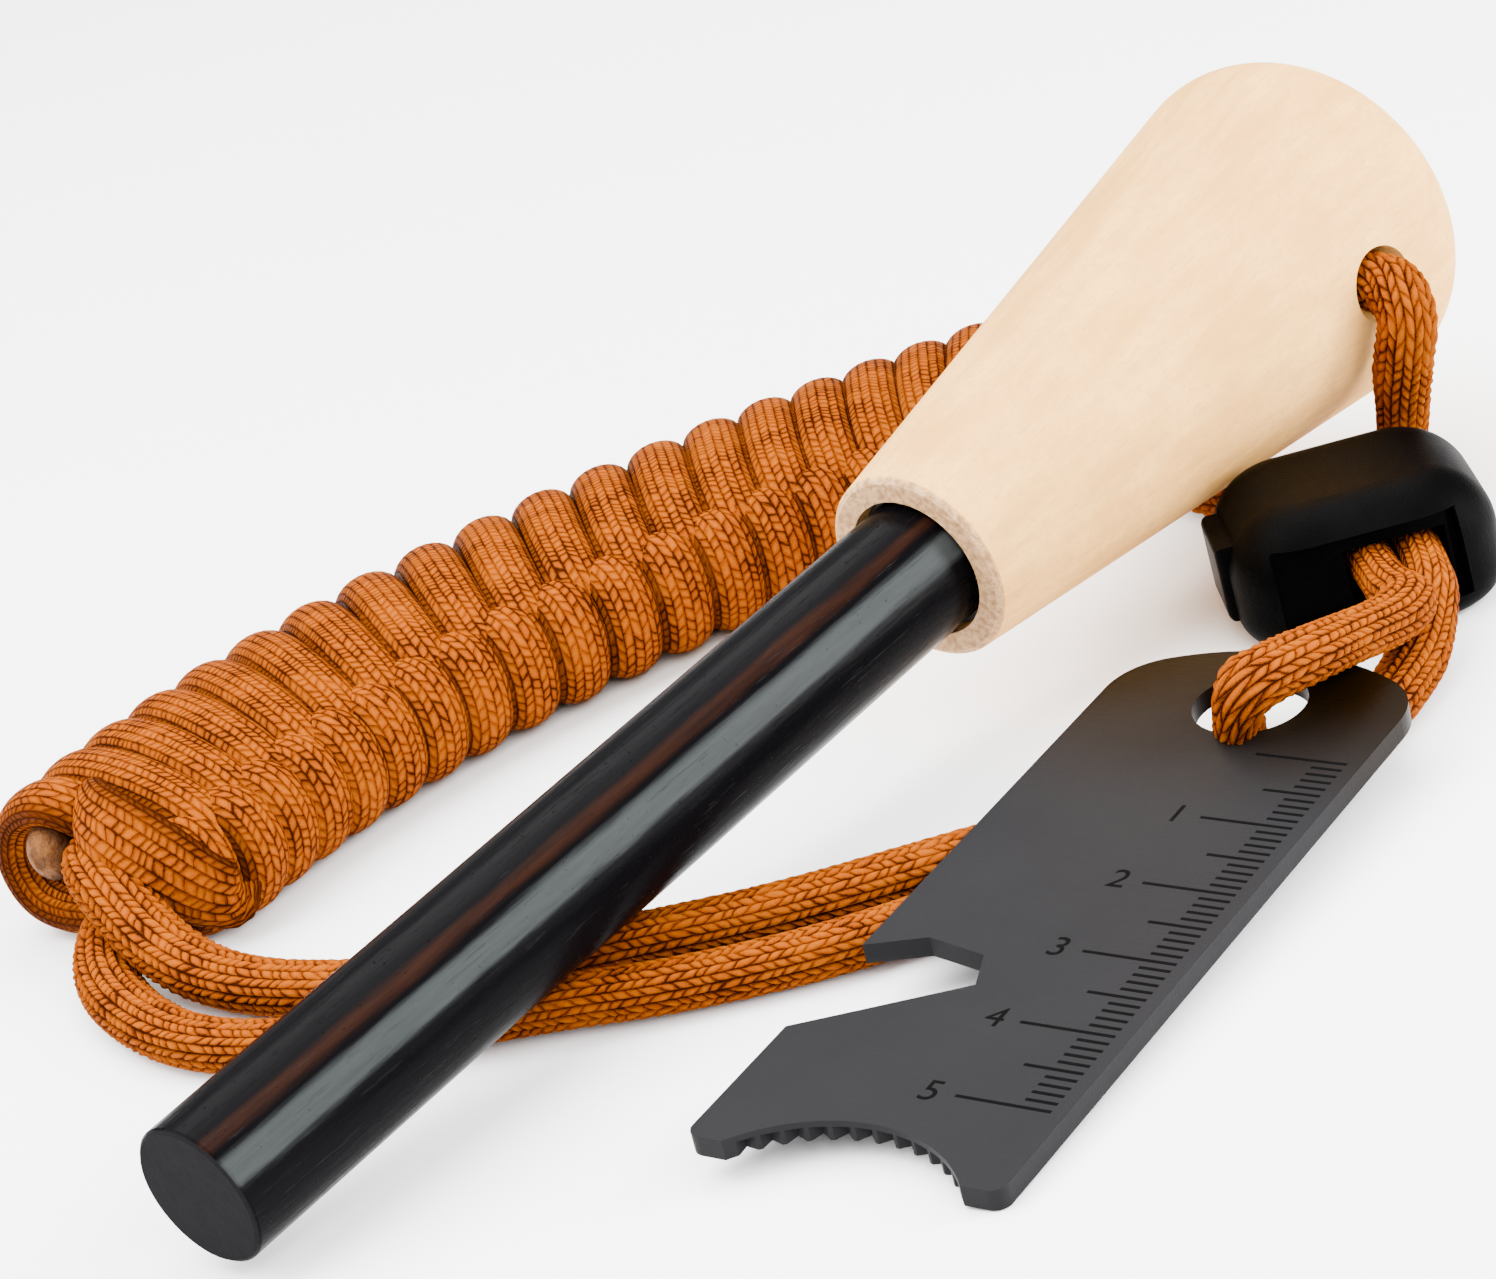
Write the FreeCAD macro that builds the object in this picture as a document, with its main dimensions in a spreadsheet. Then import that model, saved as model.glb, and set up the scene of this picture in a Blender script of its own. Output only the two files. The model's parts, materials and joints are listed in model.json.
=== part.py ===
import FreeCAD, Part
import math
import os

import Sketcher
from FreeCAD import Placement, Rotation, Vector

# A ferro rod fire starter on its cord: a striking rod glued into a turned wooden handle,
# a flat steel striker with a ruler edge, and one cord that runs through the handle's cross
# hole, a sprung cord lock and the striker's hole, and ends in a wound hank.
# The layout frame has its origin on the floor under the centre of the rod's tip, +X along
# the rod's heading and +Z up. Every piece is then moved by one shift, so that the origin
# lies at the bottom centre of the rigid pieces. Lengths are millimetres, angles degrees.

# Shares that tell one edge or face from another, and keep the cords' slopes well measured

NEARLY_ALL_SHARE = 0.99
HARDLY_ANY_SHARE = 0.01
SLOPE_SHARE = 1e-5
PITCH_SHARE = 1e-4
NEIGHBOUR_SHARE = 0.6
CREST_TURN_SHARE = 0.06

SIZES = {
    # striking rod
    "rod_diameter": 12.7,
    "rod_length": 127.0,
    "rod_edge": 0.4,
    "rod_set_in": 33.5,
    "rod_rise_angle": 5.77,
    "rod_tip_height": 7.8,
    # glue sleeve round the rod's hidden end
    "glue_wall": 0.55,
    "glue_floor": 1.0,
    "glue_recess": 2.0,
    # turned handle
    "handle_length": 74.0,
    "ring_diameter": 18.5,
    "ring_edge": 0.5,
    "handle_diameter": 34.9,
    "widest_setback": 12.5,
    "shoulder_radius": 8.0,
    "handle_tilt_angle": 0.9,
    "cord_hole_diameter": 7.2,
    "cord_hole_setback": 20.8,
    "cord_hole_roll_angle": -2.5,
    # striker plate
    "plate_length": 76.0,
    "plate_width": 28.2,
    "plate_thickness": 1.8,
    "crown_radius": 22.0,
    "crown_corner_radius": 6.5,
    "plate_corner_radius": 1.3,
    "plate_hole_diameter": 10.0,
    "plate_hole_setback": 8.5,
    "bite_radius": 13.75,
    "bite_depth": 5.05,
    "gullet_width": 1.5,
    "gullet_depth": 0.9,
    "gullet_height": 1.25,
    "gullet_span_angle": 86.0,
    "gullet_count": 12,
    "notch_far": 26.5,
    "notch_elbow": 28.8,
    "notch_elbow_depth": 5.0,
    "notch_end": 27.6,
    "notch_end_depth": 10.8,
    "notch_floor": 23.7,
    "notch_floor_depth": 12.3,
    "notch_near": 14.8,
    "plate_corner_x": 27.7,
    "plate_corner_y": -56.9,
    "plate_heading_angle": 7.2,
    "plate_pitch_angle": 3.4,
    "plate_roll_angle": 5.0,
    "plate_floor_gap": 0.05,
    # cord lock
    "lock_width": 24.5,
    "lock_depth": 24.0,
    "lock_height": 12.9,
    "lock_corner_radius": 7.4,
    "lock_top_radius": 6.2,
    "lock_bottom_radius": 3.4,
    "lock_center_x": 126.45,
    "lock_center_y": -22.15,
    "lock_heading_angle": -45.0,
    "strand_height": 6.4,
    "left_strand_side": 0.1,
    "right_strand_side": 4.6,
    "slot_clearance": 0.3,
    "recess_left": 8.8,
    "recess_right": 8.2,
    "recess_bottom": 2.4,
    "recess_top": 10.4,
    "recess_depth": 2.4,
    "slit_width": 0.8,
    "slit_side": 7.3,
    "slit_depth": 2.0,
    "plunger_width": 9.0,
    "plunger_height": 7.2,
    "plunger_clearance": 0.15,
    "plunger_proud": 0.8,
    "plunger_edge": 0.7,
    "plunger_travel": 2.0,
    "plunger_end_wall": 1.2,
    "window_height": 5.0,
    "lock_end_wall": 1.1,
    "spring_wire": 0.45,
    "spring_wide_radius": 3.0,
    "spring_narrow_radius": 2.1,
    "spring_turns": 3,
    "spring_seat_gap": 0.05,
    # cord and wound hank
    "cord_diameter": 4.2,
    "hank_middle_x": 90.0,
    "hank_middle_y": 59.0,
    "hank_heading_angle": -13.5,
    "hank_near_bend_radius": 100.0,
    "hank_far_bend_radius": 164.0,
    "hank_start": -47.0,
    "hank_width": 30.7,
    "hank_height": 15.6,
    "hank_floor_gap": 0.02,
    "hank_turns": 17,
    "hank_pitch": 6.05,
    "hank_pitch_swell": 0.55,
    "core_clearance": 0.3,
    "core_start": -37.0,
    "core_end": 50.0,
    "cut_end_lead": 0.5,
    # how far a cutting shape runs past the face that it leaves
    "closeness": 0.01,
    "overrun": 5.0,
}

doc = FreeCAD.newDocument("FireStarter")
sheet = doc.addObject("Spreadsheet::Sheet", "Sizes")
for row, (alias, number) in enumerate(SIZES.items(), start=1):
    sheet.set("A%d" % row, alias)
    sheet.set("B%d" % row, str(number))
    sheet.setAlias("B%d" % row, alias)
for row, alias in enumerate(("shift_x", "shift_y", "shift_z"), start=len(SIZES) + 1):
    sheet.set("A%d" % row, alias)
    sheet.set("B%d" % row, "0")
    sheet.setAlias("B%d" % row, alias)
doc.recompute()


def size(alias):
    """The number that the sheet holds under an alias."""
    return float(sheet.get(alias))


def value(terms):
    """The number that a sum such as 'plate_length - 0.5*plate_width' has now."""
    total = 0.0
    sign = 1.0
    for word in terms.split():
        if word in ("+", "-"):
            sign = -1.0 if word == "-" else 1.0
            continue
        product = sign
        for factor in word.split("*"):
            product *= size(factor) if factor in SIZES else float(factor)
        total += product
        sign = 1.0
    return total


def formula(terms):
    """The same sum as an expression on the sheet's cells."""
    words = []
    for word in terms.split():
        if word in ("+", "-"):
            words.append(word)
            continue
        words.append(" * ".join("Sizes." + f if f in SIZES else f for f in word.split("*")))
    return " ".join(words)


def bind(feature, name, terms):
    """Ties a property of a feature to a sum of sizes."""
    feature.setExpression(name, formula(terms))


# Sketch helpers: each point is tied to the sketch's origin by two sums of sizes.

def sketch_on(body, label, plane, along=None, turned=None):
    """A sketch on one of the body's origin planes, moved along and turned about its normal."""
    sketch = body.newObject("Sketcher::SketchObject", label)
    support = [f for f in body.Origin.OriginFeatures if f.Role == plane]
    sketch.AttachmentSupport = [(support[0], "")]
    sketch.MapMode = "FlatFace"
    for axis, terms in zip("xyz", along or ("0", "0", "0")):
        if terms != "0":
            bind(sketch, "AttachmentOffset.Base." + axis, terms)
    if turned:
        sketch.AttachmentOffset = Placement(Vector(), Rotation(Vector(0, 0, 1), 1))
        bind(sketch, "AttachmentOffset.Rotation.Angle", turned)
    return sketch


def tie(sketch, kind, geometry, corner, terms):
    """Holds one coordinate of a point at a sum of sizes from the sketch's origin."""
    number = value(terms)
    axis = -2 if kind == "DistanceX" else -1
    if number == 0:
        sketch.addConstraint(Sketcher.Constraint("PointOnObject", geometry, corner, axis))
        return
    if number > 0:
        rule = Sketcher.Constraint(kind, -1, 1, geometry, corner, number)
        text = formula(terms)
    else:
        rule = Sketcher.Constraint(kind, geometry, corner, -1, 1, -number)
        text = "-(" + formula(terms) + ")"
    index = sketch.addConstraint(rule)
    sketch.setExpression("Constraints[%d]" % index, text)


def polygon(sketch, corners):
    """A closed outline of straight lines."""
    spots = [Vector(value(x), value(y), 0) for x, y in corners]
    first = sketch.GeometryCount
    count = len(spots)
    for k in range(count):
        sketch.addGeometry(Part.LineSegment(spots[k], spots[(k + 1) % count]), False)
    for k in range(count):
        after = first + (k + 1) % count
        sketch.addConstraint(Sketcher.Constraint("Coincident", first + k, 2, after, 1))
    for k, (x, y) in enumerate(corners):
        tie(sketch, "DistanceX", first + k, 1, x)
        tie(sketch, "DistanceY", first + k, 1, y)


def circle(sketch, x, y, diameter):
    """A circle with its centre at two sums of sizes."""
    center = Vector(value(x), value(y), 0)
    ring = sketch.addGeometry(Part.Circle(center, Vector(0, 0, 1), value(diameter) / 2), False)
    index = sketch.addConstraint(Sketcher.Constraint("Diameter", ring, value(diameter)))
    sketch.setExpression("Constraints[%d]" % index, formula(diameter))
    tie(sketch, "DistanceX", ring, 3, x)
    tie(sketch, "DistanceY", ring, 3, y)


def pad(body, label, sketch, length, reverse=False):
    feature = body.newObject("PartDesign::Pad", label)
    feature.Profile = sketch
    feature.Reversed = reverse
    bind(feature, "Length", length)
    return feature


def pocket(body, label, sketch, length, reverse=False, both=False):
    """A cut against the sketch's normal, or along it when reversed, or both ways."""
    feature = body.newObject("PartDesign::Pocket", label)
    feature.Profile = sketch
    feature.Reversed = reverse
    if both:
        feature.Midplane = True
    bind(feature, "Length", length)
    return feature


def edges_where(feature, test):
    """Names of the edges whose middle and direction pass a test."""
    names = []
    for number, edge in enumerate(feature.Shape.Edges, start=1):
        middle = edge.valueAt((edge.FirstParameter + edge.LastParameter) / 2)
        if test(edge, middle):
            names.append("Edge%d" % number)
    return names


def rounded(body, label, base, names, radius):
    feature = body.newObject("PartDesign::Fillet", label)
    feature.Base = (base, names)
    bind(feature, "Radius", radius)
    return feature


def upright(edge):
    """True for a straight edge that runs along Z."""
    return len(edge.Vertexes) == 2 and edge.BoundBox.ZLength > NEARLY_ALL_SHARE * edge.Length


# Places and directions that several pieces share, in the layout frame.

def along_rod(station):
    """A point on the rod's axis, at a distance from its tip."""
    angle = math.radians(size("rod_rise_angle"))
    return Vector(math.cos(angle) * station, 0,
                  size("rod_tip_height") + math.sin(angle) * station)


rod_turn = Rotation(Vector(0, 1, 0), -size("rod_rise_angle"))
handle_turn = Rotation(Vector(0, 1, 0), -size("rod_rise_angle") - size("handle_tilt_angle"))
handle_turn = handle_turn.multiply(Rotation(Vector(1, 0, 0), -size("cord_hole_roll_angle")))
lock_turn = Rotation(Vector(0, 0, 1), size("lock_heading_angle"))
lock_spot = Vector(size("lock_center_x"), size("lock_center_y"), 0)
plate_turn = Rotation(Vector(0, 0, 1), size("plate_heading_angle"))
plate_turn = plate_turn.multiply(Rotation(Vector(0, 1, 0), -size("plate_pitch_angle")))
plate_turn = plate_turn.multiply(Rotation(Vector(1, 0, 0), size("plate_roll_angle")))
plate_spot = Vector(size("plate_corner_x"), size("plate_corner_y"), size("plate_floor_gap"))
plate_spot += plate_turn.multVec(Vector(0, 0, size("plate_thickness")))


def in_hole(side, forward, height):
    """A point given along, beside and above the middle of the handle's cross hole."""
    hole_start = along_rod(value("rod_length - rod_set_in"))
    station = value("handle_length - cord_hole_setback")
    return hole_start + handle_turn.multVec(Vector(station + forward, side, height))


def in_lock(side, ahead, height):
    """A point given across, behind and above the cord lock's middle."""
    return lock_spot + lock_turn.multVec(Vector(side, ahead, height))


# The striking rod

rod = doc.addObject("PartDesign::Body", "ferro_rod")
rod_ring = sketch_on(rod, "rod_section", "YZ_Plane")
circle(rod_ring, "0", "0", "rod_diameter")
rod_bar = pad(rod, "rod_bar", rod_ring, "rod_length")
doc.recompute()
rod_bevel = rod.newObject("PartDesign::Chamfer", "rod_bevel")
rod_bevel.Base = (rod_bar, edges_where(rod_bar, lambda edge, middle: len(edge.Vertexes) == 1))
bind(rod_bevel, "Size", "rod_edge")
rod.Placement = Placement(along_rod(0), rod_turn)

# The turned handle: a cone, a rounded shoulder and a domed butt, all tangent

handle = doc.addObject("PartDesign::Body", "handle")


def handle_profile(sketch):
    """Draws half of the handle's outline above the sketch's X axis."""
    ring = size("ring_diameter") / 2
    shoulder = size("shoulder_radius")
    length = size("handle_length")
    center = Vector(length - size("widest_setback"), size("handle_diameter") / 2 - shoulder, 0)
    behind = center.x - length
    dome = shoulder ** 2 - center.y ** 2 - behind ** 2
    dome /= 2 * (behind + shoulder)
    dome_center = Vector(length - dome, 0, 0)
    reach = math.hypot(center.x, center.y - ring)
    slope = math.atan2(center.y - ring, center.x) + math.asin(shoulder / reach)
    cone_end = center + Vector(-math.sin(slope), math.cos(slope), 0) * shoulder
    dome_start = center + (center - dome_center).normalize() * shoulder
    crest_angle = math.pi / 2 - CREST_TURN_SHARE * math.pi
    crest = center + Vector(math.cos(crest_angle), math.sin(crest_angle), 0) * shoulder
    halfway = math.atan2(dome_start.y, dome_start.x - dome_center.x) / 2
    flank = dome_center + Vector(math.cos(halfway), math.sin(halfway), 0) * dome
    butt = Vector(length, 0, 0)
    sketch.addGeometry(Part.LineSegment(Vector(0, 0, 0), Vector(0, ring, 0)), False)
    sketch.addGeometry(Part.LineSegment(Vector(0, ring, 0), cone_end), False)
    sketch.addGeometry(Part.Arc(dome_start, crest, cone_end), False)
    sketch.addGeometry(Part.Arc(butt, flank, dome_start), False)
    sketch.addGeometry(Part.LineSegment(butt, Vector(0, 0, 0)), False)
    joins = ((0, 2, 1, 1), (3, 1, 4, 1), (4, 2, 0, 1))
    for one, end_one, other, end_other in joins:
        sketch.addConstraint(Sketcher.Constraint("Coincident", one, end_one, other, end_other))
    sketch.addConstraint(Sketcher.Constraint("Tangent", 1, 2, 2, 2))
    sketch.addConstraint(Sketcher.Constraint("Tangent", 2, 1, 3, 2))
    sketch.addConstraint(Sketcher.Constraint("PointOnObject", 3, 3, -1))
    sketch.addConstraint(Sketcher.Constraint("Coincident", 0, 1, -1, 1))
    tie(sketch, "DistanceX", 0, 2, "0")
    tie(sketch, "DistanceY", 0, 2, "0.5*ring_diameter")
    tie(sketch, "DistanceX", 3, 1, "handle_length")
    tie(sketch, "DistanceY", 3, 1, "0")
    tie(sketch, "DistanceX", 2, 3, "handle_length - widest_setback")
    tie(sketch, "DistanceY", 2, 3, "0.5*handle_diameter - shoulder_radius")
    index = sketch.addConstraint(Sketcher.Constraint("Radius", 2, shoulder))
    sketch.setExpression("Constraints[%d]" % index, formula("shoulder_radius"))


profile = sketch_on(handle, "handle_outline", "XZ_Plane")
handle_profile(profile)
turning = handle.newObject("PartDesign::Revolution", "handle_turning")
turning.Profile = profile
turning.ReferenceAxis = (profile, ["H_Axis"])
turning.Angle = 360
doc.recompute()
ring_bevel = handle.newObject("PartDesign::Chamfer", "ring_bevel")
ring_edges = edges_where(
    turning, lambda edge, middle: abs(middle.x) < size("closeness") and len(edge.Vertexes) == 1)
ring_bevel.Base = (turning, ring_edges)
bind(ring_bevel, "Size", "ring_edge")
doc.recompute()

# The bore follows the rod, which the handle's own axis leaves by a small tilt
bore_ring = sketch_on(handle, "bore_section", "YZ_Plane")
bore_axis = handle_turn.inverted().multVec(rod_turn.multVec(Vector(1, 0, 0)))
bore_turn = Rotation(Vector(1, 0, 0), bore_axis)
plane_turn = Rotation(Vector(0, 1, 0), Vector(0, 0, 1), Vector(1, 0, 0), "ZXY")
bore_ring.AttachmentOffset = Placement(
    plane_turn.inverted().multVec(bore_axis * -size("overrun")),
    plane_turn.inverted().multiply(bore_turn).multiply(plane_turn))
circle(bore_ring, "0", "0", "rod_diameter + 2*glue_wall")
pocket(handle, "rod_bore", bore_ring, "overrun + rod_set_in + glue_floor",
       reverse=True)
hole_ring = sketch_on(handle, "cord_hole_section", "XZ_Plane")
circle(hole_ring, "handle_length - cord_hole_setback", "0", "cord_hole_diameter")
pocket(handle, "cord_hole", hole_ring, "2*handle_diameter", both=True)
handle.Placement = Placement(along_rod(value("rod_length - rod_set_in")), handle_turn)

# The glue: a cup that fills the bore round the rod's end

glue = doc.addObject("PartDesign::Body", "rod_adhesive")
glue_start = ("0", "0", "rod_length - rod_set_in + glue_recess")
glue_ring = sketch_on(glue, "glue_outside", "YZ_Plane", along=glue_start)
circle(glue_ring, "0", "0", "rod_diameter + 2*glue_wall")
pad(glue, "glue_plug", glue_ring, "rod_set_in - glue_recess + glue_floor")
glue_hole = sketch_on(glue, "glue_inside", "YZ_Plane", along=("0", "0", "rod_length"))
circle(glue_hole, "0", "0", "rod_diameter")
pocket(glue, "glue_bore", glue_hole, "rod_length")
glue.Placement = Placement(along_rod(0), rod_turn)

# The striker plate: its top face is the sketch plane, its near right corner the origin

plate = doc.addObject("PartDesign::Body", "striker_plate")


def plate_outline(sketch):
    """A strip with a square near end and a crowned far end."""
    length = size("plate_length")
    width = size("plate_width")
    crown = size("crown_radius")
    side = length - crown + math.sqrt(crown ** 2 - (width / 2) ** 2)
    sketch.addGeometry(Part.LineSegment(Vector(0, 0, 0), Vector(side, 0, 0)), False)
    sketch.addGeometry(
        Part.Arc(Vector(side, 0, 0), Vector(length, width / 2, 0), Vector(side, width, 0)), False)
    sketch.addGeometry(Part.LineSegment(Vector(side, width, 0), Vector(0, width, 0)), False)
    sketch.addGeometry(Part.LineSegment(Vector(0, width, 0), Vector(0, 0, 0)), False)
    for one, other in ((0, 1), (1, 2), (2, 3), (3, 0)):
        sketch.addConstraint(Sketcher.Constraint("Coincident", one, 2, other, 1))
    sketch.addConstraint(Sketcher.Constraint("Coincident", 0, 1, -1, 1))
    sketch.addConstraint(Sketcher.Constraint("Horizontal", 0))
    sketch.addConstraint(Sketcher.Constraint("Horizontal", 2))
    sketch.addConstraint(Sketcher.Constraint("Vertical", 3))
    tie(sketch, "DistanceY", 2, 2, "plate_width")
    tie(sketch, "DistanceX", 1, 3, "plate_length - crown_radius")
    tie(sketch, "DistanceY", 1, 3, "0.5*plate_width")
    index = sketch.addConstraint(Sketcher.Constraint("Radius", 1, crown))
    sketch.setExpression("Constraints[%d]" % index, formula("crown_radius"))


blank_outline = sketch_on(plate, "plate_outline", "XY_Plane")
plate_outline(blank_outline)
blank = pad(plate, "plate_blank", blank_outline, "plate_thickness", reverse=True)
doc.recompute()
far_corners = edges_where(
    blank, lambda edge, middle: upright(edge) and middle.x > size("plate_length") / 2)
crowned = rounded(plate, "crown_corners", blank, far_corners, "crown_corner_radius")
doc.recompute()
near_corners = edges_where(
    crowned, lambda edge, middle: upright(edge) and middle.x < size("plate_length") / 4)
eased = rounded(plate, "near_corners", crowned, near_corners, "plate_corner_radius")
hole_sketch = sketch_on(plate, "plate_hole_section", "XY_Plane")
circle(hole_sketch, "plate_length - plate_hole_setback", "0.5*plate_width", "plate_hole_diameter")
pocket(plate, "plate_hole", hole_sketch, "2*plate_thickness")
bite_sketch = sketch_on(plate, "bite_section", "XY_Plane")
circle(bite_sketch, "bite_depth - bite_radius", "0.5*plate_width", "2*bite_radius")
pocket(plate, "bite", bite_sketch, "2*plate_thickness")
notch_sketch = sketch_on(plate, "notch_section", "XY_Plane")
polygon(notch_sketch, [
    ("notch_far", "plate_width"),
    ("notch_elbow", "plate_width - notch_elbow_depth"),
    ("notch_end", "plate_width - notch_end_depth"),
    ("notch_floor", "plate_width - notch_floor_depth"),
    ("notch_near", "plate_width"),
    ("notch_near", "plate_width + overrun"),
    ("notch_far", "plate_width + overrun"),
])
pocket(plate, "notch", notch_sketch, "2*plate_thickness")

# One gullet between two teeth, cut from the underside, then turned round the bite
gullet_sketch = sketch_on(
    plate, "gullet_section", "XY_Plane",
    along=("bite_depth - bite_radius", "0.5*plate_width", "gullet_height - plate_thickness"),
    turned="-0.5*gullet_span_angle")
polygon(gullet_sketch, [
    ("bite_radius - gullet_depth", "0 - gullet_width"),
    ("bite_radius + gullet_depth", "0"),
    ("bite_radius - gullet_depth", "gullet_width"),
])
gullet = pocket(plate, "gullet", gullet_sketch, "2*plate_thickness")
gullets = plate.newObject("PartDesign::PolarPattern", "gullets")
gullets.Originals = [gullet]
gullets.Axis = (gullet_sketch, ["N_Axis"])
bind(gullets, "Angle", "gullet_span_angle")
bind(gullets, "Occurrences", "gullet_count")
plate.Tip = gullets
plate.Placement = Placement(plate_spot, plate_turn)

# The cord lock's body: a pebble with a cord slot, a recess before each mouth of the slot
# and a bore for the plunger, open at the left end

lock = doc.addObject("PartDesign::Body", "lock_body")
lock_outline = sketch_on(lock, "lock_outline", "XY_Plane")
polygon(lock_outline, [
    ("-0.5*lock_width", "-0.5*lock_depth"),
    ("0.5*lock_width", "-0.5*lock_depth"),
    ("0.5*lock_width", "0.5*lock_depth"),
    ("-0.5*lock_width", "0.5*lock_depth"),
])
lock_block = pad(lock, "lock_block", lock_outline, "lock_height")
doc.recompute()
lock_sides = rounded(
    lock, "lock_sides", lock_block,
    edges_where(lock_block, lambda edge, middle: upright(edge)), "lock_corner_radius")
doc.recompute()
lock_top = rounded(
    lock, "lock_top", lock_sides,
    edges_where(lock_sides, lambda edge, middle: middle.z > NEARLY_ALL_SHARE * size("lock_height")),
    "lock_top_radius")
doc.recompute()
lock_under = rounded(
    lock, "lock_under", lock_top,
    edges_where(lock_top, lambda edge, middle: middle.z < HARDLY_ANY_SHARE * size("lock_height")),
    "lock_bottom_radius")
half_recess = "0.5*lock_depth - recess_depth"
for end, reach, reverse in (("front", half_recess, True),
                            ("back", "-0.5*lock_depth + recess_depth", False)):
    recess_sketch = sketch_on(lock, end + "_recess_section", "XZ_Plane", along=("0", "0", reach))
    polygon(recess_sketch, [
        ("0 - recess_left", "recess_bottom"),
        ("recess_right", "recess_bottom"),
        ("recess_right", "recess_top"),
        ("0 - recess_left", "recess_top"),
    ])
    pocket(lock, end + "_recess", recess_sketch, "recess_depth + overrun", reverse=reverse)
slit_sketch = sketch_on(lock, "slit_section", "XZ_Plane",
                        along=("0", "0", "0.5*lock_depth - recess_depth - slit_depth"))
polygon(slit_sketch, [
    ("slit_side", "recess_bottom"),
    ("slit_side + slit_width", "recess_bottom"),
    ("slit_side + slit_width", "recess_top"),
    ("slit_side", "recess_top"),
])
pocket(lock, "slit", slit_sketch, "slit_depth + overrun", reverse=True)
slot_left = "left_strand_side - 0.5*cord_diameter - slot_clearance"
slot_right = "right_strand_side + 0.5*cord_diameter + slot_clearance"
slot_sketch = sketch_on(lock, "slot_section", "XZ_Plane")
polygon(slot_sketch, [
    (slot_left, "strand_height - 0.5*cord_diameter - slot_clearance"),
    (slot_right, "strand_height - 0.5*cord_diameter - slot_clearance"),
    (slot_right, "strand_height + 0.5*cord_diameter + slot_clearance"),
    (slot_left, "strand_height + 0.5*cord_diameter + slot_clearance"),
])
pocket(lock, "cord_slot", slot_sketch, "2*lock_depth", both=True)
bore_sketch = sketch_on(lock, "plunger_bore_section", "YZ_Plane",
                        along=("0", "0", "0.5*lock_width - lock_end_wall"))
polygon(bore_sketch, [
    ("-0.5*plunger_width - plunger_clearance", "strand_height - 0.5*plunger_height - plunger_clearance"),
    ("0.5*plunger_width + plunger_clearance", "strand_height - 0.5*plunger_height - plunger_clearance"),
    ("0.5*plunger_width + plunger_clearance", "strand_height + 0.5*plunger_height + plunger_clearance"),
    ("-0.5*plunger_width - plunger_clearance", "strand_height + 0.5*plunger_height + plunger_clearance"),
])
pocket(lock, "plunger_bore", bore_sketch, "lock_width + overrun")
lock.Placement = Placement(lock_spot, lock_turn)

# The plunger: a tongue with a window round both strands, its end proud as the button

plunger = doc.addObject("PartDesign::Body", "lock_plunger")
plunger_section = sketch_on(plunger, "plunger_section", "YZ_Plane",
                            along=("0", "0", "-0.5*lock_width - plunger_proud"))
polygon(plunger_section, [
    ("-0.5*plunger_width", "strand_height - 0.5*plunger_height"),
    ("0.5*plunger_width", "strand_height - 0.5*plunger_height"),
    ("0.5*plunger_width", "strand_height + 0.5*plunger_height"),
    ("-0.5*plunger_width", "strand_height + 0.5*plunger_height"),
])
tongue_length = "0.5*lock_width + plunger_proud + " + slot_right + " + plunger_end_wall"
tongue = pad(plunger, "tongue", plunger_section, tongue_length)
doc.recompute()
button_end = -value("0.5*lock_width + plunger_proud")
button_edges = edges_where(
    tongue, lambda edge, middle: abs(middle.x - button_end) < size("closeness"))
eased_button = rounded(plunger, "button_edge", tongue, button_edges, "plunger_edge")
window_sketch = sketch_on(plunger, "window_section", "XZ_Plane")
window_left = slot_left + " - plunger_travel"
polygon(window_sketch, [
    (window_left, "strand_height - 0.5*window_height"),
    (slot_right, "strand_height - 0.5*window_height"),
    (slot_right, "strand_height + 0.5*window_height"),
    (window_left, "strand_height + 0.5*window_height"),
])
pocket(plunger, "window", window_sketch, "2*plunger_width", both=True)
plunger.Placement = Placement(lock_spot, lock_turn)


# Wire paths of arcs, for the spring and the wound hank

def arc_between(start, direction, end):
    """The arc that leaves start along a direction and reaches end."""
    chord = end - start
    inward = chord - direction * chord.dot(direction)
    radius = chord.Length ** 2 / (2 * inward.Length)
    center = start + inward.normalize() * radius
    outward = (start - center) + (end - center)
    return Part.Arc(start, center + outward.normalize() * radius, end).toShape(), radius


def biarc(start, start_direction, end, end_direction):
    """Two tangent arcs from one point and direction to another."""
    chord = end - start
    both = start_direction + end_direction
    spread = 2 * (1 - start_direction.dot(end_direction))
    along = chord.dot(both)
    reach = (-along + math.sqrt(along ** 2 + spread * chord.dot(chord))) / spread
    joint = (start + start_direction * reach + end - end_direction * reach) * 0.5
    first, first_radius = arc_between(start, start_direction, joint)
    second, second_radius = arc_between(end, end_direction * -1, joint)
    return [first, second], min(first_radius, second_radius)


def swept(edges, start, direction, diameter):
    """A round tube along a chain of tangent edges."""
    path = Part.Wire(edges)
    ring = Part.Wire(Part.Circle(start, direction, diameter / 2).toShape())
    return Part.Solid(path.makePipeShell([ring], True, False))


def report_volume(label, shape, path_length, diameter):
    """Prints how a tube's volume compares with its section times its length."""
    ideal = math.pi * diameter ** 2 / 4 * path_length
    print(label, "length %.1f volume %.1f of %.1f" % (path_length, shape.Volume, ideal))


def least_gap_to_itself(points, spacing, diameter, skip):
    """The least distance between turns of a wound path, less the wire's diameter."""
    least = None
    for k, one in enumerate(points):
        for other in points[k + skip::spacing]:
            gap = one.distanceToPoint(other) - diameter
            if least is None or gap < least:
                least = gap
    return least


# The lock's spring: a short cone of wire between the plunger and the end of its bore

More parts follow.
